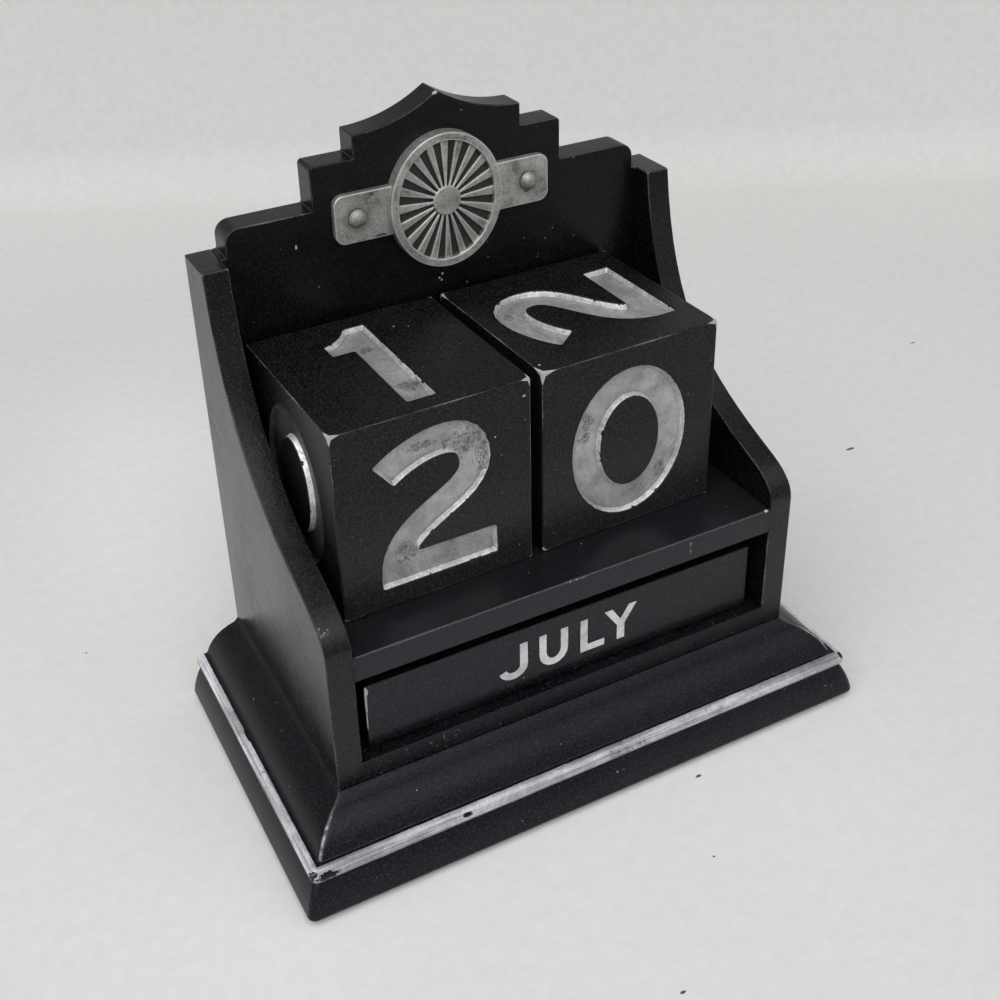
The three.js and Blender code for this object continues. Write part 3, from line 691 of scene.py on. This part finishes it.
def makePlinthFinish():
    look = plinthLook
    made, tree, shader = newFinish("plinth_paint")
    place = objectPlace(tree)
    split = splitVector(tree, place)
    low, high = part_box("left_cheek")
    across = minus(tree, calc(tree, "ABSOLUTE", split["X"]), -low.x)
    ahead = minus(tree, low.y, split["Y"])
    onSides = calc(tree, "GREATER_THAN", across, ahead)
    painted = makeBeadMask(tree, place, largest(tree, across, ahead), split["Z"], onSides)
    # painted highlight and wear: the ridge mask pales the paint towards its ground
    ridge = makeRidgeWearAndHighlight(tree, place, split, minus(tree, ahead, across))
    colour, rough, texture = layPaint(tree, place, ridge, look)
    silver = laySilver(tree, place, look)
    drawn = addNode(tree, "ShaderNodeMapping", {"Vector": place, "Scale": look["streaks"]}).outputs[0]
    streak = remap(tree, noise(tree, drawn, 1.0), 0.34, 0.64, 0.55, 1.1)
    # painted light: the bead's silver is darker at the front and brighter along the sides
    more = times(tree, onSides, look["sideSilverLight"] - look["frontSilverLight"])
    brushed = scaled(tree, silver["Color"], times(tree, streak, plus(tree, look["frontSilverLight"], more)))
    blend(tree, shader, painted, (colour, rough), (brushed, silver["Roughness"]), look)
    height = plus(tree, texture, times(tree, painted, 0.8))
    setBump(tree, shader, height, *paint["bump"])
    return made


dress("plinth", makePlinthFinish(), "moulding")
print("plinth: moulding painted, bead silvered")


# Date cubes: digits silvered on their floors and walls, edges and corners rubbed to the pale ground
cubeLook = {
    "half": 22.5,
    "rim": 0.25,
    "inset": 1.2,
    "missed": 0.7,
    "silver": (0.43, 0.43, 0.425, 1),
    "wallHighlight": 1.8,
    "wallFacing": (0.98, 0.955),
    "flank": -20.0,
    "midRing": (11.3, 14.3),
    "flankShade": 0.85,
    "flankLight": 0.4,
    "corner": 1.6,
    "creaseShadeSpread": (0.5, 0.97, 0.6, 1.04),
    "metallic": 0.45,
    "stain": 0.8,
    "blot": (0.05, 0.046, 0.034, 1),
    "blotScale": 480.0,
    "blotRagged": 3.2,
    "blotShare": 0.75,
    "satin": 0.36,
    "grainy": 1.4,
    "dust": 0.35,
    "specks": 0.42,
    "base": (0.0006, 0.0005, 0.001, 1),
    "line": 0.12,
    "fray": 0.4,
    "paintedBounce": (0.0105, 0.0104, 0.0112),
    "paintedBounceReach": (6, -12),
    "paintedBounceFront": -22.0,
    "bump": (0.2, 0.12),
}
# Each corner's star is a corner, its arms' length and their width; chips and stains are as on the box
cubeSides = {
    "left": {
        "yaw": 0.95,
        "corners": [
            ((-1, -1, 1), 3.6, 1.25), ((1, -1, 1), 3.4, 1.0), ((1, -1, -1), 1.6, 0.5),
            ((-1, -1, -1), 2.0, 0.5), ((-1, 1, 1), 1.6, 0.4), ((1, 1, 1), 2.0, 0.5),
        ],
        "chips": [
            ((20.9, -22.5, 18.7), (0.4, 0.4, 0.25), 1.0), ((14.0, -22.5, 11.0), (0.22, 0.3, 0.22), 0.6),
            ((8.6, 13.2, 22.5), (0.22, 0.22, 0.3), 0.6),
        ],
        "stains": [
            ((7.4, -21.2, 11.6), (4.6, 1.2, 2.4)), ((11.2, -21.2, 7.0), (1.8, 1.2, 3.4)),
            ((-3.0, -21.2, 13.5), (4.0, 1.2, 1.0)), ((-6.9, -21.2, -11.0), (2.8, 1.2, 2.2)),
            ((0.9, -10.2, 21.2), (2.2, 2.0, 1.2)), ((-0.6, 8.5, 21.2), (1.4, 1.2, 1.2)),
        ],
    },
    "right": {
        "yaw": 1.35,
        "corners": [
            ((-1, -1, 1), 4.6, 1.5), ((1, -1, 1), 4.0, 1.15), ((-1, -1, -1), 2.0, 1.0),
            ((-1, 1, 1), 5.5, 0.7), ((1, 1, 1), 2.0, 0.5), ((1, -1, -1), 2.0, 0.5),
        ],
        "chips": [((-21.0, -19.0, 22.5), (0.3, 0.3, 0.3), 0.6)],
        "stains": [
            ((-11.2, -21.2, 2.2), (1.9, 1.2, 1.6)), ((-10.2, -21.2, 6.4), (1.6, 1.2, 2.0)),
            ((9.3, -21.2, -12.0), (1.6, 1.2, 2.4)), ((-14.0, 5.0, 21.2), (1.2, 1.6, 1.2)),
        ],
    },
}


# The digits lie deeper than the rim; here and there the brush missed their walls
def makeDigitMask(tree, place, most, second):
    look = cubeLook
    miss = remap(tree, noise(tree, place, 520), 0.58, 0.74)
    rim = plus(tree, times(tree, miss, look["missed"] * mm), look["rim"] * mm)
    depth = minus(tree, look["half"] * mm, most)
    inside = calc(tree, "LESS_THAN", second, (look["half"] - look["inset"]) * mm)
    return times(tree, remap(tree, minus(tree, depth, rim), -0.05 * mm, 0.05 * mm), inside)


# The edges are rubbed in a thin line that widens to a star at each worn corner
def makeCubeWear(tree, place, second, own):
    look = cubeLook
    near = minus(tree, look["half"] * mm, second)
    fray = swing(tree, noise(tree, place, 1300, 3, 0.65), look["fray"] * mm)
    width = times(tree, remap(tree, noise(tree, place, 70), 0.35, 0.7, 0.3, 1.6), look["line"] * mm)
    line = remap(tree, minus(tree, plus(tree, near, fray), width), 0.14 * mm, -0.04 * mm)
    line = times(tree, line, remap(tree, noise(tree, place, 55, 2, 0.6), 0.35, 0.72, 0.08, 0.5))
    arms = []
    for corner, reach, spread in own["corners"]:
        spot = metres(sign * look["half"] for sign in corner)
        field = useGroup(tree, cornerField, {"Place": place, "Corner": spot, "Reach": reach * mm})["Field"]
        arms.append(times(tree, field, spread * mm))
    off = minus(tree, plus(tree, near, times(tree, fray, 0.5)), largest(tree, *arms))
    star = remap(tree, off, 0.06 * mm, -0.06 * mm)
    return largest(tree, line, star, chips(tree, place, own["chips"]))


# Painted light on the silver: a painted highlight on the groove's walls; on the side towards the cheek,
# painted shade on the floor and outer ring and a painted highlight on the inner wall; painted shade where
# the floors meet the walls
def makePaintedSilverLight(tree, place, local):
    look = cubeLook
    facing = addNode(tree, "ShaderNodeTexCoord", {}).outputs["Normal"]
    facing = splitVector(tree, vectorCalc(tree, "ABSOLUTE", facing))
    flat = largest(tree, facing["X"], facing["Y"], facing["Z"])
    wallHighlight = remap(tree, flat, *look["wallFacing"], 1.0, look["wallHighlight"])
    streaky = remap(tree, noise(tree, place, 1100, 3, 0.65), 0.36, 0.62, 0.78, 1.05)
    wallHighlight = mixValue(tree, remap(tree, flat, *look["wallFacing"]), 1.0, times(tree, wallHighlight, streaky))
    # painted light on the side towards the cheek
    flank = calc(tree, "LESS_THAN", local["X"], look["flank"] * mm)
    outer = remap(tree, ellipse(tree, local["Y"], local["Z"], look["midRing"]), 0.9, 1.0)
    level = remap(tree, flat, *reversed(look["wallFacing"]))
    flankShade = times(tree, flank, largest(tree, level, outer))
    shade = times(tree, wallHighlight, minus(tree, 1.0, times(tree, flankShade, look["flankShade"])))
    shade = times(tree, shade, plus(tree, 1.0, times(tree, flank, look["flankLight"])))
    # painted shade: darker where the floor meets the walls
    corner = openness(tree, look["corner"] * mm, only_local=True)
    return times(tree, shade, remap(tree, corner, *look["creaseShadeSpread"]))


def makeStains(tree, place, own):
    look = cubeLook
    marks = [(*stain, look["blotRagged"]) for stain in own["stains"]]
    speckle = remap(tree, noise(tree, place, 2000, 3, 0.7), 0.44, 0.62, 0.2, 1.0)
    return times(tree, chips(tree, place, marks, look["blotScale"]), speckle, look["blotShare"])


def makeCubeFinish(side, centre):
    look, own = cubeLook, cubeSides[side]
    made, tree, shader = newFinish(f"date_cube_{side}_paint")
    turn = {"Vector": objectPlace(tree), "Location": centre, "Rotation": (0, 0, math.radians(own["yaw"]))}
    place = addNode(tree, "ShaderNodeMapping", turn, vector_type="TEXTURE").outputs[0]
    local = splitVector(tree, place)
    size = splitVector(tree, vectorCalc(tree, "ABSOLUTE", place))
    most = largest(tree, size["X"], size["Y"])
    least = calc(tree, "MINIMUM", size["X"], size["Y"])
    second = largest(tree, least, calc(tree, "MINIMUM", most, size["Z"]))
    most = largest(tree, most, size["Z"])
    silvered = makeDigitMask(tree, place, most, second)
    worn = makeCubeWear(tree, place, second, own)
    colour, rough, texture = layPaint(tree, place, worn, look)
    # painted light: the lower half of the front is lightened a little, standing in for light bounced up
    # from below
    paintedBounce = remap(tree, local["Z"], *metres(look["paintedBounceReach"]))
    paintedBounce = times(tree, paintedBounce, calc(tree, "LESS_THAN", local["Y"], look["paintedBounceFront"] * mm))
    colour = vectorCalc(tree, "ADD", colour, scaled(tree, look["paintedBounce"], paintedBounce))
    silver = laySilver(tree, place, look)
    shaded = scaled(tree, silver["Color"], makePaintedSilverLight(tree, place, local))
    stained = mixColour(tree, makeStains(tree, place, own), shaded, look["blot"])
    blend(tree, shader, silvered, (colour, rough), (stained, silver["Roughness"]), look)
    height = plus(tree, texture, times(tree, silver["Texture"], silvered))
    setBump(tree, shader, height, *look["bump"])
    return made


for side in cubeSides:
    low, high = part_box(f"date_cube_{side}")
    dress(f"date_cube_{side}", makeCubeFinish(side, (low + high) / 2), "cube")
print("cubes: digits silvered, edges rubbed")


# Month bars, with the months in flat silver on their faces
barWear = {
    "month_bar_front": {
        "edges": 0.3,
        "gloss": 1.43,
        "tint": paint["violet"],
        "calm": [((-60, -30, 20), (60, 40, 60))],
        "chips": [
            ((-49.15, -23.2, 38.4), (0.3, 0.3, 3.6), 1.0), ((-49.0, -23.2, 41.2), (0.5, 0.3, 1.2), 1.2),
            ((-49.15, -23.2, 33.4), (0.14, 0.3, 2.6), 0.6),
        ],
    },
    "month_bar_middle": {"edges": 0.3},
    "month_bar_rear": {"edges": 0.3},
}
for name, wear in barWear.items():
    dress(name, makeBoxPaint(name + "_paint", wear), "bar")

letterLook = {
    "height": 9.1,
    "foot": 0.1,
    "arcSteps": 8,
    "thickness": 0.05,
    "sunk": 0.005,
    "corner": (-19.5, 29.75),
    "silver": (0.66, 0.66, 0.675, 1),
    "stain": 0.12,
    "metallic": 0.2,
    "bump": (0.15, 0.05),
}


def makeLetterFinish():
    look = letterLook
    made, tree, shader = newFinish("letter_paint")
    silver = laySilver(tree, objectPlace(tree), look)
    fill(tree, shader, {"Base Color": silver["Color"], "Roughness": silver["Roughness"]})
    shader.inputs["Metallic"].default_value = look["metallic"]
    setBump(tree, shader, silver["Texture"], *look["bump"])
    return made


letterPaint = makeLetterFinish()


# An elliptical stretch of a letter's outline, between two angles in degrees
def arc(middle, radii, start, end):
    turns = sweep(start, end, letterLook["arcSteps"])
    return [
        (middle[0] + radii[0] * math.cos(turn), middle[1] + radii[1] * math.sin(turn)) for turn in turns
    ]


# Letter outlines in millimetres from the left end of the word's foot line
top, foot = letterLook["height"], letterLook["foot"]
julyOutlines = {
    "J": [
        (7.1, top), (9.0, top),
        *arc((5.4, 3.1), (3.65, 3.2), 0, -165), *arc((5.3, 3.3), (1.75, 1.5), -165, 0),
    ],
    "U": [
        (12.0, top), (13.8, top), *arc((15.65, 4.1), (1.85, 2.35), 180, 360),
        (17.5, top), (19.35, top), *arc((15.675, 3.6), (3.675, 3.7), 0, -180),
    ],
    "L": [(22.6, top), (24.45, top), (24.45, 1.9), (28.9, 1.9), (28.9, foot), (22.6, foot)],
    "Y": [
        (28.9, top), (31.0, top), (33.2, 5.7), (35.4, top), (37.45, top),
        (34.3, 4.2), (34.3, foot), (32.3, foot), (32.3, 4.2),
    ],
}


# The month at the front, as in the photograph
def makeFrontWord():
    look = letterLook
    low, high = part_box("month_bar_front")
    faces = [[(x * mm, 0, z * mm) for x, z in outline] for outline in julyOutlines.values()]
    word = makePrism("month_word_front_front", faces, (0, -look["thickness"] * mm, 0), letterPaint)
    left, up = look["corner"]
    word.location = (left * mm, low.y + look["sunk"] * mm, up * mm)
    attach(word, "front_month_bar")


makeFrontWord()

# The other eleven months, each turned to read upright once its face is brought to the front
monthLook = {"size": 12.6, "bold": 0.3, "spacing": 1.1, "proud": 0.012}
monthFaces = {
    "front": {"top": "AUGUST", "back": "SEPTEMBER", "bottom": "OCTOBER"},
    "middle": {"front": "JANUARY", "top": "FEBRUARY", "back": "MARCH", "bottom": "APRIL"},
    "rear": {"front": "MAY", "top": "JUNE", "back": "NOVEMBER", "bottom": "DECEMBER"},
}
# The turn about the bar's length in degrees, and the way the face looks
faceTurns = {
    "front": (90, (0, -1, 0)),
    "top": (0, (0, 0, 1)),
    "back": (-90, (0, 1, 0)),
    "bottom": (180, (0, 0, -1)),
}


def makeMonth(bar, face, month):
    look = monthLook
    curve = bpy.data.curves.new("month", "FONT")
    curve.body = month
    curve.size = look["size"] * mm
    curve.offset = look["bold"] * mm
    curve.space_character = look["spacing"]
    curve.align_x = curve.align_y = "CENTER"
    source = addObject("month", curve)
    drawn = source.evaluated_get(bpy.context.evaluated_depsgraph_get())
    mesh = bpy.data.meshes.new_from_object(drawn)
    bpy.data.objects.remove(source)
    bpy.data.curves.remove(curve)
    mesh.name = f"month_word_{bar}_{face}"
    mesh.materials.clear()
    mesh.materials.append(letterPaint)
    low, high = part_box(f"month_bar_{bar}")
    turn, outward = faceTurns[face]
    outward = Vector(outward)
    reach = abs((high - low).dot(outward)) / 2 + look["proud"] * mm
    word = addObject(mesh.name, mesh)
    word.location = (low + high) / 2 + outward * reach
    word.rotation_euler = (math.radians(turn), 0, 0)
    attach(word, f"{bar}_month_bar")


for bar, faces in monthFaces.items():
    for face, month in faces.items():
        makeMonth(bar, face, month)
print("bars: painted and lettered")


# Pewter name plate: bright on its high places, partly rubbed metal and partly a painted highlight, black
# patina in the low field between the rays
plateLook = {
    "metal": (0.6, 0.59, 0.56, 1),
    "shine": (0.86, 0.85, 0.82, 1),
    "dull": (0.15, 0.14, 0.12, 1),
    "patina": (0.012, 0.011, 0.01, 1),
    "field": (12.1, 14.1),
    "fieldProud": (2.55, 2.15),
    "cavity": 1.1,
    "cavitySpread": (0.9, 0.45),
    "grimeSpread": (0.46, 0.66, 0.0, 0.8),
    "mottleSpread": (0.3, 0.7, 0.72, 1.12),
    "flakeShare": 0.9,
    "rivetGrime": (4.8, 2.2),
    "shineReach": 0.6,
    "shineAmount": 1.1,
    "shineShare": 0.8,
    "fieldShare": 0.96,
    "metallic": 0.75,
    "bump": (0.45, 0.12),
    "pits": [
        ((-17.6, 30.7, 126.9), (0.6, 0.5, 0.5), 1.2), ((-16.0, 30.7, 116.7), (1.6, 0.5, 0.5), 1.2),
        ((-20.9, 30.7, 116.4), (1.5, 0.5, 0.35), 1.2), ((20.9, 30.7, 119.6), (0.8, 0.5, 0.5), 1.4),
    ],
}


# The medallion's low field, an ellipse
def makeFieldMask(tree, place):
    look = plateLook
    low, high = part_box("name_plate")
    split = splitVector(tree, place)
    radial = ellipse(tree, split["X"], minus(tree, split["Z"], (low.z + high.z) / 2), look["field"])
    inside = remap(tree, calc(tree, "SQRT", radial), 1.02, 0.97)
    return times(tree, inside, remap(tree, minus(tree, high.y, split["Y"]), *metres(look["fieldProud"])))


# Grime in the hollows, in broad patches, round the rivets and in the pits
def makeGrime(tree, place, mottle):
    look = plateLook
    broad = noise(tree, place, 130, 4, 0.65)
    cavity = remap(tree, openness(tree, look["cavity"] * mm), *look["cavitySpread"])
    grime = largest(tree, cavity, remap(tree, broad, *look["grimeSpread"]))
    for side in ("left", "right"):
        low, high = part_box(f"plate_rivet_{side}")
        away = measure(tree, "DISTANCE", place, (low + high) / 2)
        grime = largest(tree, grime, remap(tree, away, *metres(look["rivetGrime"]), 0.0, 0.9))
    grime = times(tree, grime, remap(tree, mottle, 0.34, 0.58, 0.2, 1.0))
    return largest(tree, grime, chips(tree, place, look["pits"]))


def makePlateFinish():
    look = plateLook
    made, tree, shader = newFinish("plate_pewter")
    place = objectPlace(tree)
    mottle = noise(tree, place, 520, 5, 0.7)
    field = makeFieldMask(tree, place)
    grime = makeGrime(tree, place, mottle)
    metal = mixColour(tree, grime, look["metal"], look["dull"])
    flake = swing(tree, noise(tree, place, 2000, 2, 0.6), look["flakeShare"])
    metal = scaled(tree, metal, plus(tree, remap(tree, mottle, *look["mottleSpread"]), flake))
    # painted highlight and wear: the rims are lightened, partly rubbed metal and partly a painted highlight
    rubbed = {"Place": place, "Reach": look["shineReach"] * mm, "Amount": look["shineAmount"]}
    shine = useGroup(tree, edgeWear, rubbed)["Worn"]
    metal = mixColour(tree, times(tree, shine, look["shineShare"]), metal, look["shine"])
    dull = plus(tree, mottle, times(tree, grime, 0.5))
    fill(tree, shader, {
        "Base Color": mixColour(tree, times(tree, field, look["fieldShare"]), metal, look["patina"]),
        "Metallic": minus(tree, look["metallic"], times(tree, field, 0.6)),
        "Roughness": remap(tree, dull, 0.25, 1.1, 0.3, 0.62, "LINEAR"),
    })
    height = plus(tree, mottle, noise(tree, place, 1500, 2, 0.6))
    setBump(tree, shader, height, *look["bump"])
    return made


platePewter = makePlateFinish()
dress("name_plate", platePewter, "plate")
for side in ("left", "right"):
    dress(f"plate_rivet_{side}", platePewter, "rivet")
print("plate: patinated")


# Fixings out of sight: zinc screws, beech dowels and rubber pads. A noise is its scale and detail
fixingLooks = {
    "screw_zinc": {
        "pieces": ("cheek_screw",),
        "colours": ((0.36, 0.36, 0.35, 1), (0.62, 0.63, 0.66, 1)),
        "noise": (420, 3),
        "roughness": (0.5, 0.3),
        "metallic": 0.95,
        "grain": (2200, 2),
        "bump": (0.2, 0.05),
    },
    "dowel_beech": {
        "pieces": ("shelf_dowel", "board_dowel", "board_foot_dowel"),
        "colours": ((0.32, 0.18, 0.09, 1), (0.62, 0.42, 0.24, 1)),
        "stretch": (90, 900, 900),
        "noise": (1.0, 4),
        "roughness": (0.72, 0.56),
        "bump": (0.3, 0.08),
    },
    "pad_rubber": {
        "pieces": ("foot_pad",),
        "colours": ((0.012, 0.012, 0.012, 1), (0.035, 0.034, 0.032, 1)),
        "noise": (300, 3),
        "roughness": (0.7, 0.88),
        "grain": (2500, 2),
        "bump": (0.3, 0.06),
    },
}


def makeFixingFinish(name):
    look = fixingLooks[name]
    made, tree, shader = newFinish(name)
    place = objectPlace(tree)
    if "stretch" in look:
        place = addNode(tree, "ShaderNodeMapping", {"Vector": place, "Scale": look["stretch"]}).outputs[0]
    blotch = noise(tree, place, *look["noise"])
    fill(tree, shader, {
        "Base Color": mixColour(tree, blotch, *look["colours"]),
        "Roughness": remap(tree, blotch, 0.3, 0.7, *look["roughness"], "LINEAR"),
        "Metallic": look.get("metallic", 0.0),
    })
    height = noise(tree, place, *look["grain"], 0.5) if "grain" in look else blotch
    setBump(tree, shader, height, *look["bump"])
    return made


for finishName, look in fixingLooks.items():
    finish = makeFixingFinish(finishName)
    for name in nodes:
        if name.startswith(look["pieces"]):
            dress(name, finish, "fixing")
print("fixings: screws, dowels and pads")


# Pale sheet that rises behind the part. Each band is an axis, where the tone sets in and the tone; sizes
# are in metres but for the bend, the crumbs, the lift's reach and the patch behind
sheetLook = {
    # painted light: the sheet's tone falls off from near to far
    "near": (0.66, 0.66, 0.648, 1),
    "far": (0.615, 0.615, 0.6, 1),
    "lightAndShadeBands": [
        # painted light and shade: the rising part lightened, the sheet in front, out of view, darkened as
        # painted shade, and the rise high up darkened as painted shade
        ("Z", (0.0, 0.03), (0.72, 0.72, 0.708, 1)),
        ("Y", (-0.15, -0.32), (0.26, 0.26, 0.27, 1)),
        ("Z", (0.2, 0.3), (0.34, 0.34, 0.34, 1)),
    ],
    "crumb": (0.09, 0.08, 0.07, 1),
    "crumbs": [
        ((147.0, 47.2, 0), (1.7, 0.55, 1.0), 0.8), ((22.8, -43.4, 0), (0.8, 0.4, 1.0), 1.2),
        ((214.4, 91.0, 0), (1.3, 0.3, 1.0), 1.2), ((-13.0, -88.0, 0), (0.8, 0.35, 1.0), 1.4),
        ((12.0, -64.0, 0), (0.3, 0.25, 1.0), 0.8), ((-92.0, 70.0, 0), (0.3, 0.25, 1.0), 0.8),
    ],
    "bend": ((-49.4, 425.0), (379.0, 207.8)),
    "bendRadius": 0.025,
    "bendSteps": 6,
    "reach": 4.0,
    "height": 1.6,
    "falloffSide": (0.78, 0.62, 0),
    "falloffSpread": (-0.1, 0.42, 0.0, 1.0),
    "lift": 0.215,
    "liftReach": 220.0,
    "behind": (-50.0, 120.0, 0.0),
    "behindShape": (2.2, 1.0, 1.0),
    "behindSpread": (0.12, 0.03, 0.0, 0.1),
    "shadedSpread": (0.03, 0.09, 1.0, 0.6),
    "roughness": 0.8,
    "specular": 0.2,
    "bump": (0.08, 0.2),
}


def makeSheetMesh():
    look = sheetLook
    start, end = (Vector((x * mm, y * mm, 0)) for x, y in look["bend"])
    along = (end - start).normalized()
    back = Vector((-along.y, along.x, 0))
    middle = (start + end) / 2
    radius, turns = look["bendRadius"], sweep(0, 90, look["bendSteps"])
    bend = [(radius * (math.sin(turn) - 1), radius * (1 - math.cos(turn))) for turn in turns]
    section = [(-look["reach"], 0.0)] + bend + [(0.0, look["height"])]
    corners = [
        middle + along * side * look["reach"] + back * y + Vector((0, 0, z))
        for y, z in section for side in (-1, 1)
    ]
    mesh = bpy.data.meshes.new("studio_sheet")
    faces = [(2 * i, 2 * i + 1, 2 * i + 3, 2 * i + 2) for i in range(len(section) - 1)]
    mesh.from_pydata([tuple(corner) for corner in corners], [], faces)
    for face in mesh.polygons:
        face.use_smooth = True
    return mesh


# Bounced light lifts the sheet round the part's foot, less so on its shaded right
def makeSheetLift(tree, place, split):
    look = sheetLook
    low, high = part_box("plinth")
    centre, half = (low + high) / 2, (high - low) / 2
    away = vectorCalc(tree, "ABSOLUTE", vectorCalc(tree, "SUBTRACT", place, (centre.x, centre.y, 0.0)))
    away = vectorCalc(tree, "SUBTRACT", away, (half.x, half.y, 0.0))
    away = measure(tree, "LENGTH", vectorCalc(tree, "MAXIMUM", away, (0.0, 0.0, 0.0)))
    near = remap(tree, away, look["liftReach"] * mm, 0.0, 0.0, look["lift"], "LINEAR")
    near = times(tree, near, remap(tree, split["X"], *look["shadedSpread"]))
    # painted light: a patch behind the part lifted too
    behind = vectorCalc(tree, "SUBTRACT", place, metres(look["behind"]))
    behind = measure(tree, "LENGTH", vectorCalc(tree, "MULTIPLY", behind, look["behindShape"]))
    near = plus(tree, near, remap(tree, behind, *look["behindSpread"]))
    fibre = swing(tree, noise(tree, place, 280, 5, 0.65), 0.2)
    return plus(tree, plus(tree, near, fibre), 1.0)


def makeSheetFinish():
    look = sheetLook
    made, tree, shader = newFinish("sheet_card")
    place = objectPlace(tree)
    split = splitVector(tree, place)
    # painted light: the sheet darkens towards the back right, standing in for the light's falloff
    paintedFalloff = measure(tree, "DOT_PRODUCT", place, look["falloffSide"])
    paintedFalloff = remap(tree, paintedFalloff, *look["falloffSpread"], "LINEAR")
    mottle = swing(tree, noise(tree, place, 14, 4, 0.6), 0.4)
    colour = mixColour(tree, plus(tree, paintedFalloff, mottle, clamp=True), look["near"], look["far"])
    # painted light and shade in bands over the sheet's tone
    for axis, spread, tone in look["lightAndShadeBands"]:
        colour = mixColour(tree, remap(tree, split[axis], *spread), colour, tone)
    colour = mixColour(tree, chips(tree, place, look["crumbs"]), colour, look["crumb"])
    fill(tree, shader, {
        "Base Color": scaled(tree, colour, makeSheetLift(tree, place, split)),
        "Roughness": look["roughness"],
        "Specular IOR Level": look["specular"],
    })
    setBump(tree, shader, noise(tree, place, 500, 2, 0.5), *look["bump"])
    return made


sheetMesh = makeSheetMesh()
sheetMesh.materials.append(makeSheetFinish())
addObject("studio_sheet", sheetMesh)

# Soft light from above left. Angles are in degrees
lamps = {
    "key": {"strength": 1.15, "angle": 75, "azimuth": -42, "height": 55, "colour": (1.0, 0.995, 0.98)},
    "sky": {"strength": 0.77, "angle": 100, "azimuth": -8, "height": 72, "colour": (1.0, 1.0, 1.0)},
}
surround = {"Color": (0.97, 0.98, 1.0, 1), "Strength": 0.5}


def makeLamps():
    for name, look in lamps.items():
        lamp = bpy.data.lights.new(name + "_light", "SUN")
        lamp.energy = look["strength"]
        lamp.angle = math.radians(look["angle"])
        lamp.color = look["colour"]
        obj = addObject(lamp.name, lamp)
        obj.rotation_mode = "QUATERNION"
        obj.rotation_quaternion = towards(look["azimuth"], look["height"]).to_track_quat("Z", "Y")
    world = bpy.data.worlds.new("studio")
    world.use_nodes = True
    fill(world.node_tree, world.node_tree.nodes["Background"], surround)
    bpy.context.scene.world = world


makeLamps()
print("stage: floor and light")

# The photograph's camera: its place and lens in millimetres, its angles in degrees
cameraLook = {
    "place": (-122.15, -224.37, 234.19),
    "azimuth": -25.773,
    "height": 29.084,
    "roll": -2.405,
    "lens": 48.608,
    "sensor": 36,
    "clip": (0.01, 50),
    "shift": (0.04352, -0.12548),
}


def makeCamera():
    look = cameraLook
    roll = math.radians(look["roll"])
    back = towards(look["azimuth"], look["height"])
    right = (-back).cross(Vector((0, 0, 1))).normalized()
    top = back.cross(right)
    tilted = right * math.cos(roll) + top * math.sin(roll)
    above = top * math.cos(roll) - right * math.sin(roll)
    data = bpy.data.cameras.new("camera")
    data.lens = look["lens"]
    data.sensor_width = look["sensor"]
    data.shift_x, data.shift_y = look["shift"]
    data.clip_start, data.clip_end = look["clip"]
    camera = addObject("camera", data)
    turn = Matrix((tilted, above, back)).transposed().to_4x4()
    camera.matrix_world = Matrix.Translation(metres(look["place"])) @ turn
    bpy.context.scene.camera = camera


makeCamera()
bpy.context.scene.view_settings.view_transform = "Standard"
print("camera: at the photograph's angle")

bpy.context.view_layer.update()
